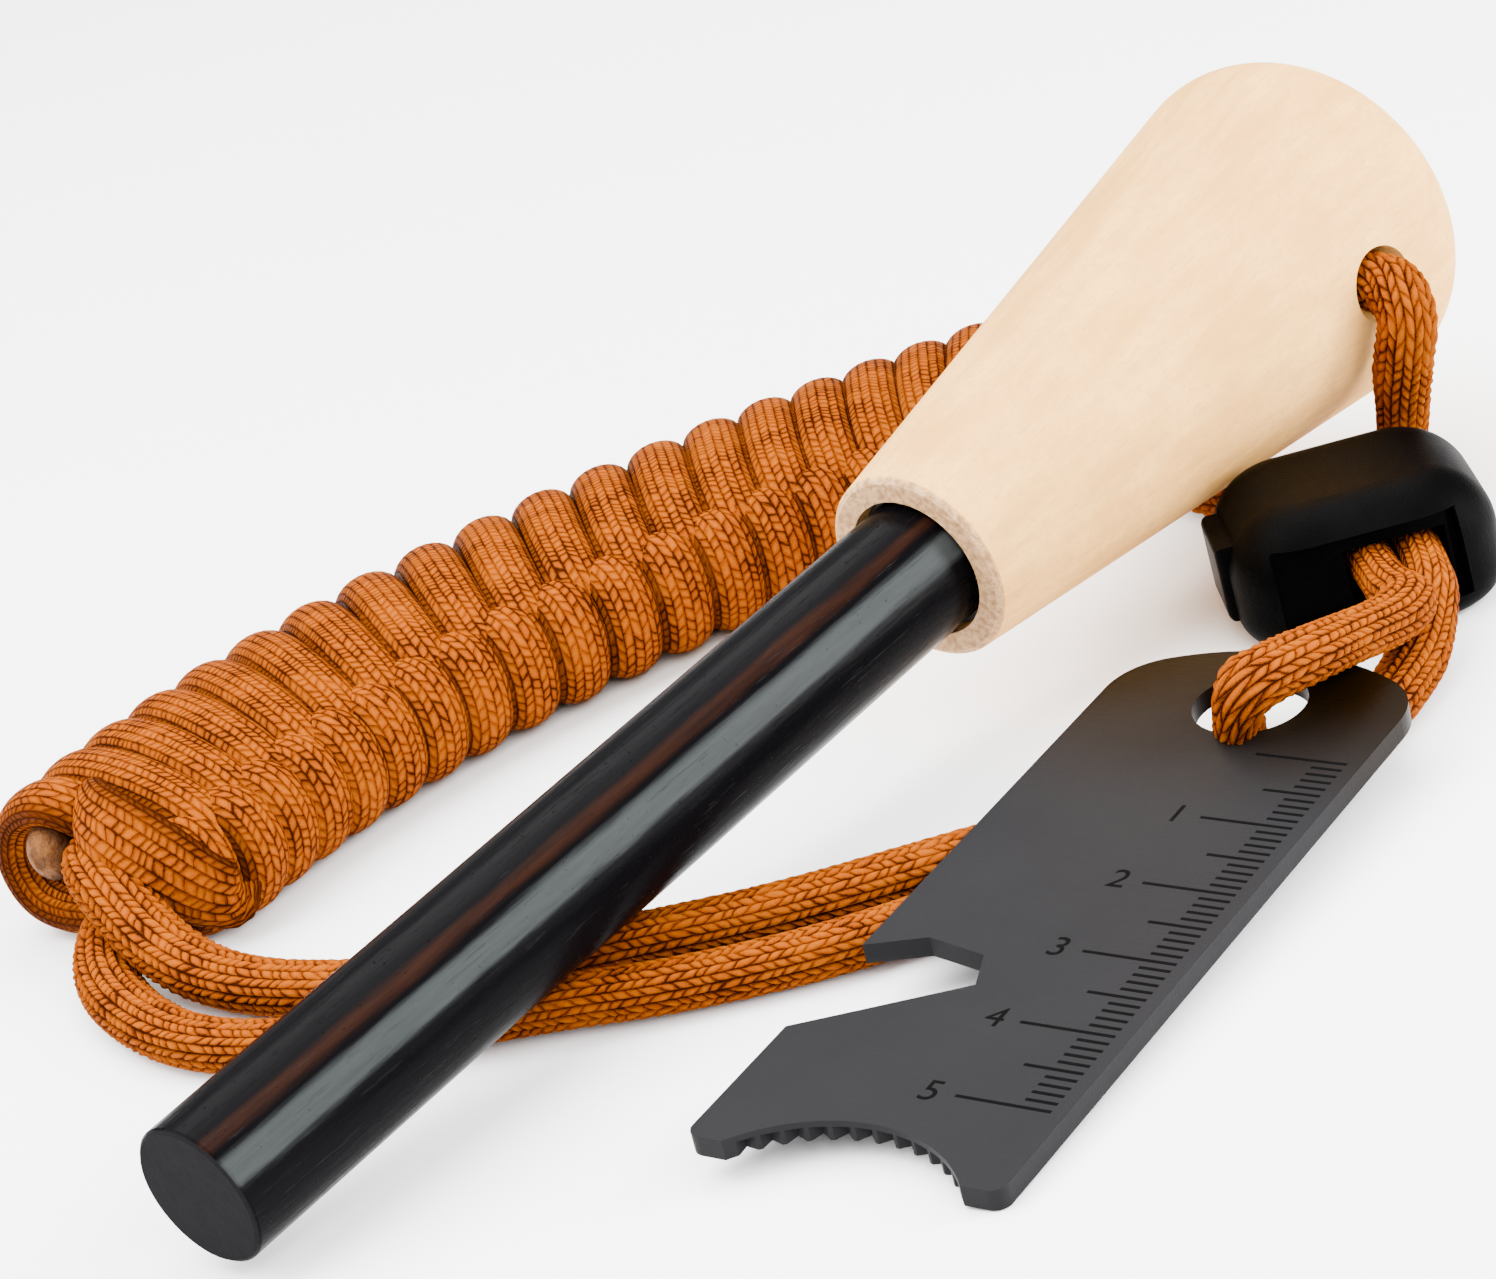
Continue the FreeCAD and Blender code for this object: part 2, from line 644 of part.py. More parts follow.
def spring_shape():
    wire = size("spring_wire")
    wide = size("spring_wide_radius")
    narrow = size("spring_narrow_radius")
    turns = int(size("spring_turns"))
    gap = size("spring_seat_gap") + wire / 2
    left = value(slot_right + " + plunger_end_wall") + gap
    right = value("0.5*lock_width - lock_end_wall") - gap
    steps = 2 * turns

    def spot(share):
        radius = narrow + (wide - narrow) * share
        angle = 2 * math.pi * turns * share
        return Vector(left + (right - left) * share,
                      radius * math.cos(angle),
                      size("strand_height") + radius * math.sin(angle))

    def heading(share):
        return (spot(share + SLOPE_SHARE) - spot(share - SLOPE_SHARE)).normalize()

    edges = []
    for k in range(steps):
        pair, radius = biarc(spot(k / steps), heading(k / steps),
                             spot((k + 1) / steps), heading((k + 1) / steps))
        edges += pair
    return swept(edges, spot(0), heading(0), wire)


spring = doc.addObject("Part::Feature", "lock_spring")
spring.Shape = spring_shape()
spring.Placement = Placement(lock_spot, lock_turn)

# The hank's middle line is two arcs on the floor plan, at half the hank's height. It
# bends more sharply before its middle point than after it.

hank_center = Vector(size("hank_middle_x"), size("hank_middle_y"),
                     size("hank_floor_gap") + size("hank_height") / 2)
hank_heading = math.radians(size("hank_heading_angle"))


def hank_spot(along, side, height):
    """A point of the hank: along its middle line, to the far side, and above it."""
    bend = size("hank_near_bend_radius" if along < 0 else "hank_far_bend_radius")
    pivot = hank_center - Vector(-math.sin(hank_heading), math.cos(hank_heading), 0) * bend
    heading = hank_heading - along / bend
    outward = Vector(-math.sin(heading), math.cos(heading), 0)
    return pivot + outward * (bend + side) + Vector(0, 0, height)


# The core stands for the doubled cord inside the winding

def core_shape():
    flat = (size("hank_width") - size("hank_height")) / 2
    rise = value("0.5*hank_height - cord_diameter - core_clearance")
    first = size("core_start")
    last = size("core_end")
    corners = [hank_spot(first, flat * a, rise * b) for a, b in ((-1, -1), (1, -1), (1, 1), (-1, 1))]
    far = hank_spot(first, flat + rise, 0)
    near = hank_spot(first, -flat - rise, 0)
    outline = Part.Wire([
        Part.LineSegment(corners[0], corners[1]).toShape(),
        Part.Arc(corners[1], far, corners[2]).toShape(),
        Part.LineSegment(corners[2], corners[3]).toShape(),
        Part.Arc(corners[3], near, corners[0]).toShape(),
    ])
    middle_line = Part.Wire([
        Part.Arc(hank_spot(first, 0, 0), hank_spot(first / 2, 0, 0), hank_center).toShape(),
        Part.Arc(hank_center, hank_spot(last / 2, 0, 0), hank_spot(last, 0, 0)).toShape(),
    ])
    return Part.Solid(middle_line.makePipeShell([outline], True, False))


core = doc.addObject("Part::Feature", "hank_core")
core.Shape = core_shape()


def winding_shape():
    """One unbroken tube wound round the core in flat turns."""
    cord = size("cord_diameter")
    side = (size("hank_width") - cord) / 2
    rise = (size("hank_height") - cord) / 2
    flat = side - rise
    run = 2 * flat
    bend = math.pi * rise
    girth = 2 * (run + bend)
    turns = int(size("hank_turns"))
    # the corners of a turn: each with its place round the girth, side, height and direction
    corners = [
        (0.0, flat, -rise, -1),
        (run, -flat, -rise, -1),
        (run + bend, -flat, rise, 1),
        (2 * run + bend, flat, rise, 1),
    ]

    def advance(turn):
        """How far the winding has moved along: its pitch is widest at the hank's middle."""
        wave = 2 * math.pi / turns
        return size("hank_pitch") * turn - size("hank_pitch_swell") * math.sin(wave * turn) / wave

    def spot(turn, side_here, height_here):
        return hank_spot(size("hank_start") + advance(turn), side_here, height_here)

    def direction(turn, side_here, height_here, way):
        """The path's direction where it runs across the hank."""
        step = PITCH_SHARE * girth * way
        before = spot(turn - PITCH_SHARE, side_here - step, height_here)
        after = spot(turn + PITCH_SHARE, side_here + step, height_here)
        return (after - before).normalize()

    stations = []
    for turn in range(turns + 1):
        for place, side_here, height_here, way in corners:
            stations.append((turn + place / girth, side_here, height_here, way))
    # the winding starts and ends half way along a low run
    stations = stations[1:-2]
    edges = []
    tightest = None
    points = []
    for one, other in zip(stations, stations[1:]):
        start = spot(*one[:3])
        end = spot(*other[:3])
        pair, radius = biarc(start, direction(*one), end, direction(*other))
        edges += pair
        tightest = radius if tightest is None else min(tightest, radius)
    first_way = direction(*stations[0])
    last_way = direction(*stations[-1])
    lead_length = size("cut_end_lead")
    start = spot(*stations[0][:3]) - first_way * lead_length
    end = spot(*stations[-1][:3])
    lead = Part.LineSegment(start, start + first_way * lead_length).toShape()
    tail = Part.LineSegment(end, end + last_way * cord).toShape()
    edges = [lead] + edges + [tail]
    for edge in edges:
        points += edge.discretize(Number=6)[:-1]
    total = sum(edge.Length for edge in edges)
    mean_step = total / len(points)
    skip = int(NEIGHBOUR_SHARE * girth / mean_step)
    gap = least_gap_to_itself(points, 1, cord, skip)
    shape = swept(edges, start, first_way, cord)
    print("hank turns %d, tightest arc %.2f, least gap to itself %.2f" % (turns, tightest, gap))
    report_volume("hank_winding", shape, total, cord)
    return shape


winding = doc.addObject("Part::Feature", "hank_winding")
winding.Shape = winding_shape()


# Free stretches of the cord: straight runs with the largest arcs that they allow

def routed_tube(label, points, diameter):
    """A tube along a hand-chosen route."""
    edges = []
    radii = []
    here = points[0]
    for before, corner, after in zip(points, points[1:], points[2:]):
        inward = before - corner
        outward = after - corner
        shorter = min(inward.Length, outward.Length)
        half_turn = (math.pi - inward.getAngle(outward)) / 2
        cut_share = 0.45
        cut = cut_share * shorter
        radii.append(cut / math.tan(half_turn))
        arc_start = corner + inward.normalize() * cut
        arc_end = corner + outward.normalize() * cut
        rise_to_center = radii[-1] / math.cos(half_turn)
        bisector = (inward + outward).normalize()
        center = corner + bisector * rise_to_center
        middle = center - bisector * radii[-1]
        edges.append(Part.LineSegment(here, arc_start).toShape())
        edges.append(Part.Arc(arc_start, middle, arc_end).toShape())
        here = arc_end
    edges.append(Part.LineSegment(here, points[-1]).toShape())
    shape = swept(edges, points[0], (points[1] - points[0]).normalize(), diameter)
    print(label, "radii", " ".join("%.1f" % radius for radius in radii))
    report_volume(label, shape, sum(edge.Length for edge in edges), diameter)
    return shape


left = size("left_strand_side")
right = size("right_strand_side")
deep = size("strand_height")
core_near = size("core_start")
core_way = (hank_spot(core_near, 0, 0) - hank_spot(core_near - size("closeness"), 0, 0)).normalize()


def into_core(side, height, lead):
    """The last two points of a strand that meets the core's near end squarely."""
    end = hank_spot(core_near, side, height)
    return [end - core_way * lead, end]


striker_strand_route = [
    in_lock(left, 0, deep),
    in_lock(left, -14.5, deep),
    Vector(113.2, -36.4, 7.6),
    Vector(108.6, -38.0, 8.6),
    Vector(100.8, -38.6, 10.6),
    Vector(91.4, -36.2, 11.8),
    Vector(90.7, -34.9, 2.4),
    Vector(82.0, -29.6, 2.4),
    Vector(68.0, -15.7, 2.4),
    Vector(57.7, -7.4, 2.6),
    Vector(48.8, 1.0, 3.6),
    Vector(41.4, 11.4, 2.8),
    Vector(36.4, 23.6, 2.4),
    Vector(33.8, 35.6, 2.6),
    Vector(34.6, 45.4, 4.2),
    Vector(37.0, 53.8, 8.2),
    Vector(39.6, 58.6, 9.2),
    Vector(42.8, 61.2, 8.9),
] + into_core(2.0, 0.8, 7.0)
free_strand_route = [
    in_lock(right, 0, deep),
    in_lock(right, -14.5, deep),
    Vector(117.4, -39.0, 4.7),
    Vector(113.2, -40.4, 3.0),
    Vector(106.4, -41.0, 2.2),
    Vector(97.4, -41.6, 2.15),
    Vector(86.0, -38.6, 2.15),
    Vector(70.0, -29.4, 2.15),
    Vector(55.4, -19.6, 2.2),
    Vector(45.4, -8.6, 2.4),
    Vector(39.2, 0.4, 2.9),
    Vector(33.4, 9.8, 2.5),
    Vector(27.8, 20.4, 2.2),
    Vector(25.0, 31.0, 2.2),
    Vector(27.2, 42.0, 2.2),
    Vector(31.4, 51.0, 2.6),
    Vector(37.0, 56.0, 4.0),
    Vector(42.2, 57.4, 4.4),
] + into_core(-3.2, -0.9, 6.4)
handle_loop_route = [
    in_lock(right, 0, deep),
    in_lock(right, 13.2, deep),
    Vector(143.6, -16.0, 6.4),
    Vector(145.0, -16.6, 9.9),
    Vector(144.6, -19.6, 14.6),
    Vector(144.5, -21.2, 20.4),
    in_hole(-15.8, -0.5, -0.2),
    in_hole(15.6, -0.5, -0.2),
    Vector(146.0, 21.6, 21.4),
    Vector(146.6, 20.6, 15.6),
    Vector(146.2, 18.8, 10.2),
    Vector(143.8, 14.0, 4.6),
    Vector(140.8, 6.4, 2.6),
    Vector(139.6, -1.6, 2.8),
    Vector(138.2, -8.0, 4.6),
    in_lock(left, 13.2, deep),
    in_lock(left, 0, deep),
]
sealed_end_route = [
    Vector(40.7, 65.9, 9.1),
    Vector(44.2, 66.8, 8.9),
] + into_core(7.1, 0.9, 5.0)
cords = {
    "striker_strand": striker_strand_route,
    "free_strand": free_strand_route,
    "handle_loop": handle_loop_route,
    "sealed_cord_end": sealed_end_route,
}
for label, route in cords.items():
    strand = doc.addObject("Part::Feature", label)
    strand.Shape = routed_tube(label, route, size("cord_diameter"))

doc.recompute()

# Every piece moves by one shift, which puts the origin under the middle of the rigid pieces

rigid = [handle, rod, glue, plate, lock, plunger, spring]
soft = [doc.getObject(label) for label in cords] + [core, winding]


def box_of(pieces):
    """The true box round some pieces."""
    box = FreeCAD.BoundBox()
    for piece in pieces:
        box.add(piece.Shape.optimalBoundingBox(False, False))
    return box


box = box_of(rigid)
shift = Vector(-box.Center.x, -box.Center.y, -box.ZMin)
for alias, amount in zip(("shift_x", "shift_y", "shift_z"), shift):
    sheet.set(sheet.getCellFromAlias(alias), "%.6f" % amount)
for piece in rigid + soft:
    piece.Placement = Placement(shift, Rotation()).multiply(piece.Placement)
doc.recompute()

for feature in doc.Objects:
    if "Invalid" in feature.State or "Error" in feature.State:
        raise RuntimeError("%s did not build: %s" % (feature.Label, feature.State))

os.makedirs("parts", exist_ok=True)
for piece in rigid + soft:
    shape = piece.Shape
    if shape.isNull() or not shape.isValid() or len(shape.Solids) != 1:
        raise RuntimeError("%s is not one valid solid" % piece.Label)
    shape.exportStep("parts/%s.step" % piece.Label)
    print("%-16s volume %9.1f" % (piece.Label, shape.Volume))

# Places that the joints and mounts use, in the part's own frame

hole_center = along_rod(value("rod_length - rod_set_in"))
hole_center += handle_turn.multVec(Vector(value("handle_length - cord_hole_setback"), 0, 0))
plate_hole = plate_spot + plate_turn.multVec(Vector(
    value("plate_length - plate_hole_setback"), value("0.5*plate_width"), 0))
for name, spot in (("shift", shift), ("cord hole", hole_center + shift),
                   ("cord hole axis", handle_turn.multVec(Vector(0, 1, 0))),
                   ("plate hole", plate_hole + shift),
                   ("plate normal", plate_turn.multVec(Vector(0, 0, 1))),
                   ("lock middle", lock_spot + shift),
                   ("rod tip", along_rod(0) + shift),
                   ("rod axis", rod_turn.multVec(Vector(1, 0, 0)))):
    print("%-16s %.4f %.4f %.4f" % (name, spot.x, spot.y, spot.z))
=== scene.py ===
# %% [markdown]
# # Ferro rod fire starter
# The scene shows a striking rod in a turned wooden handle, a flat steel striker, a cord lock
# and the orange cord that holds them together. The exact model gives every place and size.
# The hard pieces keep its shapes, and only the soft pieces are shaped again here.

import json
import math
from collections import namedtuple

import bpy
import numpy as np
from mathutils import Matrix, Vector


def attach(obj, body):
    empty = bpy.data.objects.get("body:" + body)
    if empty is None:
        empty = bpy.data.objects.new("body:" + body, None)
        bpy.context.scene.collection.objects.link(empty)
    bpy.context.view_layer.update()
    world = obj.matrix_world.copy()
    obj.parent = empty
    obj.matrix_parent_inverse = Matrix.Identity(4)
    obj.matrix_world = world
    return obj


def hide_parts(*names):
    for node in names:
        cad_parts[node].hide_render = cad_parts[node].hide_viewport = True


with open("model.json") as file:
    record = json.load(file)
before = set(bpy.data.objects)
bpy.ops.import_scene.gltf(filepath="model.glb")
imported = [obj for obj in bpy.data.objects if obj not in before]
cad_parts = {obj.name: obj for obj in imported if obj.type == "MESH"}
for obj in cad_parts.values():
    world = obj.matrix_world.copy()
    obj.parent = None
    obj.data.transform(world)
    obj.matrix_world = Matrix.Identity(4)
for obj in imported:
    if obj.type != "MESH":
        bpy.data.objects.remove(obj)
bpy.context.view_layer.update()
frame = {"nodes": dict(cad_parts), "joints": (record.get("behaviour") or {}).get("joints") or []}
nodes = frame["nodes"]
print("nodes", sorted(nodes))

# %% [markdown]
# The sizes below are in millimetres and were measured from the photograph in a layout whose
# origin is on the floor under the rod's tip. Its first axis follows the rod. The handle's
# hinge is the cord hole, so its place in the frame gives the step from the layout to the frame.

# %% From the layout to the frame
MM = 0.001
IN_MM = 1000
FULL_TURN = 2 * math.pi
HINGE_IN_LAYOUT = Vector((145.8662, 0.0, 23.3793))


def joint_place(name):
    """Where a joint is, in millimetres."""
    for joint in frame["joints"]:
        if joint["name"] == name:
            return Vector(joint["pos_m"]) / MM
    raise ValueError(name)


STEP = joint_place("handle_swing") - HINGE_IN_LAYOUT


def place(x, y, z):
    """A point of the layout in the frame, in metres."""
    return (Vector((x, y, z)) + STEP) * MM


def linked(name, data):
    """A new object that is in the scene."""
    made = bpy.data.objects.new(name, data)
    bpy.context.scene.collection.objects.link(made)
    return made


def plain_mesh(drawn):
    """The mesh that a curve, a text or a modifier makes."""
    depsgraph = bpy.context.evaluated_depsgraph_get()
    return bpy.data.meshes.new_from_object(drawn.evaluated_get(depsgraph))


print("layout to frame", [round(number, 4) for number in STEP])

# %% [markdown]
# The camera was solved from the ruler, the rod's circles and the floor: a long lens from a
# little above the rod's tip. Its three directions are given as they were solved.

# %% Camera
CAMERA_SPOT = (-171.68, -264.82, 159.97)
CAMERA_RIGHT = Vector((0.64121, -0.72304, -0.25704))
CAMERA_UP = Vector((0.43774, 0.06953, 0.89641))
CAMERA_AHEAD = Vector((0.63026, 0.68730, -0.36109))
LENS_PIXELS = 4500
PHOTO_WIDTH_PIXELS = 1496
SENSOR_WIDTH = 36

camera_data = bpy.data.cameras.new("camera")
camera_data.sensor_fit = "HORIZONTAL"
camera_data.sensor_width = SENSOR_WIDTH
camera_data.lens = SENSOR_WIDTH * LENS_PIXELS / PHOTO_WIDTH_PIXELS
camera_data.clip_start = 10 * MM
camera = linked("camera", camera_data)
turn = Matrix((CAMERA_RIGHT, CAMERA_UP, -CAMERA_AHEAD)).transposed()
camera.matrix_world = Matrix.Translation(place(*CAMERA_SPOT)) @ turn.to_4x4()
bpy.context.scene.camera = camera
print("lens", round(camera_data.lens, 2), "mm")

# %% [markdown]
# Every surface is worked out from coordinates, so sums of numbers are written as sums: a small
# class turns each one into shader nodes. One method makes any other node. A material ends
# in the usual glossy shader, whose constants are set on its own sockets.

# %% Shader sums


def operator(operation, swapped=False):
    """A sign of a sum as a method that adds its maths node."""
    def method(number, *others):
        terms = (*others, number) if swapped else (number, *others)
        return number.paint.maths(operation, *terms)
    return method


class Number:
    """A number in a shader that can be written in sums."""

    def __init__(self, paint, socket):
        self.paint = paint
        self.socket = socket

    __add__ = operator("ADD")
    __radd__ = operator("ADD", swapped=True)
    __sub__ = operator("SUBTRACT")
    __rsub__ = operator("SUBTRACT", swapped=True)
    __mul__ = operator("MULTIPLY")
    __rmul__ = operator("MULTIPLY", swapped=True)
    __truediv__ = operator("DIVIDE")
    __mod__ = operator("FLOORED_MODULO")
    __pow__ = operator("POWER")
    __abs__ = operator("ABSOLUTE")

    def __floordiv__(self, other):
        return self.paint.maths("FLOOR", self / other)


class Paint:
    """A material being made."""

    def __init__(self, name, constants):
        self.material = bpy.data.materials.new(name)
        self.material.use_nodes = True
        self.tree = self.material.node_tree
        self.shader = self.tree.nodes["Principled BSDF"]
        for socket, amount in constants.items():
            self.shader.inputs[socket].default_value = amount

    def node(self, kind, settings, inputs):
        """Any node: settings are its properties and inputs its numbers, colours or links."""
        node = self.tree.nodes.new(kind)
        for key, setting in settings.items():
            setattr(node, key, setting)
        for key, amount in inputs.items():
            self.feed(node.inputs[key], amount)
        return node

    def feed(self, socket, amount):
        """Gives a socket a link or a constant."""
        if isinstance(amount, Number):
            self.tree.links.new(amount.socket, socket)
        elif isinstance(amount, bpy.types.NodeSocket):
            self.tree.links.new(amount, socket)
        else:
            socket.default_value = amount

    def base(self, tone):
        self.feed(self.shader.inputs["Base Color"], tone)

    def rough(self, amount):
        self.feed(self.shader.inputs["Roughness"], amount)

    def bumped(self, height, distance):
        """Tilts the surface by a height that is given in units of the distance."""
        node = self.node("ShaderNodeBump", {}, {"Height": height, "Distance": distance})
        self.feed(self.shader.inputs["Normal"], node.outputs["Normal"])

    def maths(self, operation, *terms):
        node = self.node("ShaderNodeMath", {"operation": operation}, dict(enumerate(terms)))
        return Number(self, node.outputs[0])

    def between(self, number, low, high):
        """0 below low, 1 above high and smooth between them."""
        node = self.node("ShaderNodeMapRange", {"interpolation_type": "SMOOTHSTEP"},
                         {"Value": number, "From Min": low, "From Max": high})
        return Number(self, node.outputs["Result"])

    def spot(self):
        """Object coordinates, in metres."""
        return self.node("ShaderNodeTexCoord", {}, {}).outputs["Object"]

    def turned(self, origin, angles):
        """Object coordinates seen from a turned origin, in metres."""
        mapping = self.node("ShaderNodeMapping", {"vector_type": "TEXTURE"},
                            {"Vector": self.spot(), "Location": origin, "Rotation": angles})
        return mapping.outputs["Vector"]

    def on_tube(self):
        """The share of the way round a cord, and the millimetres along it."""
        node = self.node("ShaderNodeUVMap", {"uv_map": "round_and_along"}, {})
        return self.parts_of(node.outputs["UV"])[:2]

    def parts_of(self, vector):
        node = self.node("ShaderNodeSeparateXYZ", {}, {"Vector": vector})
        return [Number(self, output) for output in node.outputs]

    def noise(self, vector, scale, detail=2.0, roughness=0.5):
        """Clouds, with the scale as their number in a metre."""
        node = self.node("ShaderNodeTexNoise", {},
                         {"Vector": vector, "Scale": scale, "Detail": detail,
                          "Roughness": roughness})
        return Number(self, node.outputs[0])

    def streaks(self, vector, scales, detail, roughness):
        """Noise that is long one way, with its number in a metre along each axis."""
        node = self.node("ShaderNodeVectorMath", {"operation": "MULTIPLY"},
                         {0: vector, 1: scales})
        return self.noise(node.outputs[0], 1.0, detail, roughness)

    def mix(self, share, first, second):
        node = self.node("ShaderNodeMix", {"data_type": "RGBA"}, {0: share, 6: first, 7: second})
        return node.outputs[2]


print("shader sums ready")

# %% [markdown]
# The cord is a braided nylon sleeve. Its yarns show as about twenty columns round it, which
# lean alternately left and right and so form chevrons. The height of one yarn is rounded
# across its cell, and one sum gives it for the surface and for the material alike. The
# valleys between the cells are painted dark as shade, since little light gets there, and the
# yarns' crowns are painted lighter as a highlight. Painted shade also darkens the cord's two
# sides, where it meets its neighbours. In the hank the cord is pulled tight, so its yarns are
# finer, lie flatter and run less evenly.

# %% Cord material
Weave = namedtuple("Weave", "columns cell lean")
STRAND_WEAVE = Weave(columns=18, cell=1.2, lean=0.75)
HANK_WEAVE = Weave(columns=20, cell=0.85, lean=0.45)
YARN_FALL, YARN_ROUNDING = 0.72, 2.2
COLUMN_FALL, COLUMN_ROUNDING = 0.85, 3.2
# CORD_BRIGHT is also the painted highlight on the yarns' crowns, and CORD_DEEP the painted shade
# in the valleys and along the cord's sides; random patches move the tone between them too.
CORD_BRIGHT = (0.25, 0.057, 0.0, 1.0)
CORD_MIDDLE = (0.2, 0.037, 0.0, 1.0)
CORD_DEEP = (0.026, 0.0042, 0.0, 1.0)
CORD_PATCHES = 240
CORD_FIBRES = 3600
THREADS_IN_YARN = 38.0 / FULL_TURN
THREAD_WANDER = 9.0
FIBRE_TONE, PATCH_TONE, THREAD_TONE, YARN_TONE = 0.8, 1.4, 0.09, 0.35
DEEP_TO_MIDDLE = 0.6
MIDDLE_TO_BRIGHT = (0.62, 1.15)
SIDE_SHADE_SHARPNESS = 4.0


def braid(share, along, weave, stray=0.0):
    """The column and the row of a place on a cord, and how high its yarn stands there.

    Arrays and shader sums both go in. The share is the part of the way round, and the way
    along is in millimetres.
    """
    column = share * weave.columns
    across = column % 1 - 0.5
    leaning = column // 1 % 2
    row = along * (1 / weave.cell) + across * (leaning * 2 - 1) * weave.lean + leaning * 0.5
    row = row + stray
    within = row % 1 * 2 - 1
    height = 1 - YARN_FALL * abs(within) ** YARN_ROUNDING
    height = height * (1 - COLUMN_FALL * abs(across * 2) ** COLUMN_ROUNDING)
    return column, row, height


def woven(name, weave, side_shade_strength, wander, depth):
    """A braided sleeve: how dark its sides are painted as shade, how far its rows wander, and how
    deep the painted shade between its yarns reaches.
    """
    paint = Paint(name, {"Roughness": 0.6, "Specular IOR Level": 0.2, "IOR": 1.1})
    around, along = paint.on_tube()
    spot = paint.spot()
    patch = paint.noise(spot, CORD_PATCHES, detail=3, roughness=0.6) - 0.5
    fibre = paint.noise(spot, CORD_FIBRES, detail=3, roughness=0.7) - 0.5
    column, row, yarn = braid(around, along, weave, patch * wander)
    threads = paint.maths("SINE", row * (THREADS_IN_YARN * FULL_TURN)
                          + (patch + 0.5) * THREAD_WANDER)
    cell = paint.node("ShaderNodeCombineXYZ", {}, {0: column // 1, 1: row // 1})
    chance = paint.node("ShaderNodeTexWhiteNoise", {}, {"Vector": cell.outputs[0]})
    chance = Number(paint, chance.outputs["Value"]) - 0.5
    tone = yarn + fibre * FIBRE_TONE + patch * PATCH_TONE
    tone = tone + threads * THREAD_TONE + chance * YARN_TONE
    # Painted shade where the yarns are low and a painted highlight where they stand high, with
    # random tone on top.
    shade = paint.between(tone, depth, depth + DEEP_TO_MIDDLE)
    lit = paint.between(tone, *MIDDLE_TO_BRIGHT)
    colour = paint.mix(lit, paint.mix(shade, CORD_DEEP, CORD_MIDDLE), CORD_BRIGHT)
    # Painted shade along the cord's two sides, where it meets its neighbours.
    edge = abs(paint.maths("COSINE", around * FULL_TURN)) ** SIDE_SHADE_SHARPNESS
    paint.base(paint.mix(edge * side_shade_strength, colour, CORD_DEEP))
    paint.rough(0.75 - yarn * 0.2)
    paint.bumped(yarn + fibre * 0.3, 0.4 * MM)
    return paint.material


strand_paint = woven("orange_strand_weave", STRAND_WEAVE, side_shade_strength=0.3, wander=0.0, depth=0.12)
winding_paint = woven("orange_hank_weave", HANK_WEAVE, side_shade_strength=0.9, wander=0.9, depth=0.06)
print("cord materials", strand_paint.name, winding_paint.name)

# %% [markdown]
# A free stretch of cord is drawn as a smooth spline through a few points of its route, which
# were read from the photograph, and its tube follows that spline. The tube is wider than it
# is high where the cord lies slack, and its yarns stand out of it. Its first and last rings
# are closed by small domes.

# %% Cord tools
LOCK_CENTER = Vector((126.45, -22.15))
LOCK_AHEAD = Vector((math.sqrt(0.5), math.sqrt(0.5)))
LOCK_SIDE = Vector((math.sqrt(0.5), -math.sqrt(0.5)))
LOCK_LEFT = 0.1
LOCK_RIGHT = 4.6
STRAND_HEIGHT = 6.4
SAME_POINT = 1e-9
FEWEST_STEPS = 8
LEVELLING = 0.08
DOME_SHRINK = np.array([0.45, 0.8])
DOME_LEAD = np.array([0.5, 0.25])
DOME_RINGS = len(DOME_SHRINK)
YARN_MIDDLE = 0.6
# A wave's height in millimetres, its radians in a millimetre, and its sway round the cord.
SLOW_WANDER = (0.25, 0.9, 1.7)
QUICK_WANDER = (0.12, 2.3, -2.1)


def in_lock(side, ahead):
    """A point of a strand in the cord lock's slot."""
    spot = LOCK_CENTER + LOCK_SIDE * side + LOCK_AHEAD * ahead
    return (spot.x, spot.y, STRAND_HEIGHT)


def spline(name, points):
    """A smooth curve whose control points are the given places of the layout."""
    data = bpy.data.curves.new(name, "CURVE")
    data.dimensions = "3D"
    data.resolution_u = 16
    line = data.splines.new("NURBS")
    line.points.add(len(points) - 1)
    for point, spot in zip(line.points, points):
        point.co = (*place(*spot), 1.0)
    line.order_u = 3
    line.use_endpoint_u = True
    return linked(name, data)


def run_of(line):
    """How far along a line each of its points is."""
    return np.concatenate([[0], np.cumsum(np.linalg.norm(np.diff(line, axis=0), axis=1))])


def drawn(name, points, step):
    """A route's line at even steps of some millimetres, and its length, both in metres."""
    curve = spline(name, points)
    mesh = plain_mesh(curve)
    spots = np.empty(len(mesh.vertices) * 3)
    mesh.vertices.foreach_get("co", spots)
    spots = spots.reshape(-1, 3)
    bpy.data.meshes.remove(mesh)
    bpy.data.objects.remove(curve)
    steps = np.linalg.norm(np.diff(spots, axis=0), axis=1)
    spots = spots[np.concatenate([[True], steps > SAME_POINT])]
    run = run_of(spots)
    even = np.linspace(0, run[-1], max(FEWEST_STEPS, int(run[-1] / (step * MM))))
    return np.stack([np.interp(even, run, spots[:, k]) for k in range(3)], axis=1), run[-1]


def headings(line):
    """The direction of a line at every point."""
    way = np.gradient(line, axis=0)
    return way / np.linalg.norm(way, axis=1)[:, None]


def flat_sides(line):
    """A direction across the tube at every point that stays level wherever the tube does."""
    way = headings(line)
    up = np.array([0.0, 0.0, 1.0])
    side = np.cross(way[0], up)
    side /= np.linalg.norm(side)
    sides = []
    for heading in way:
        side = side - heading * side.dot(heading)
        level = np.cross(heading, up)
        flatness = level.dot(level)
        if level.dot(side) < 0:
            level = -level
        side = side + level * LEVELLING * flatness
        side = side - heading * side.dot(heading)
        side /= np.linalg.norm(side)
        sides.append(side)
    return np.array(sides)


def wandered(share, run):
    """How far along the yarns of a place belong, since a braid never runs quite evenly."""
    slow_height, slow_turn, slow_sway = SLOW_WANDER
    quick_height, quick_turn, quick_sway = QUICK_WANDER
    slow = np.sin(run * slow_turn + slow_sway * np.cos(share * FULL_TURN))
    quick = np.sin(run * quick_turn + quick_sway * np.sin(share * FULL_TURN))
    return run + slow_height * slow + quick_height * quick


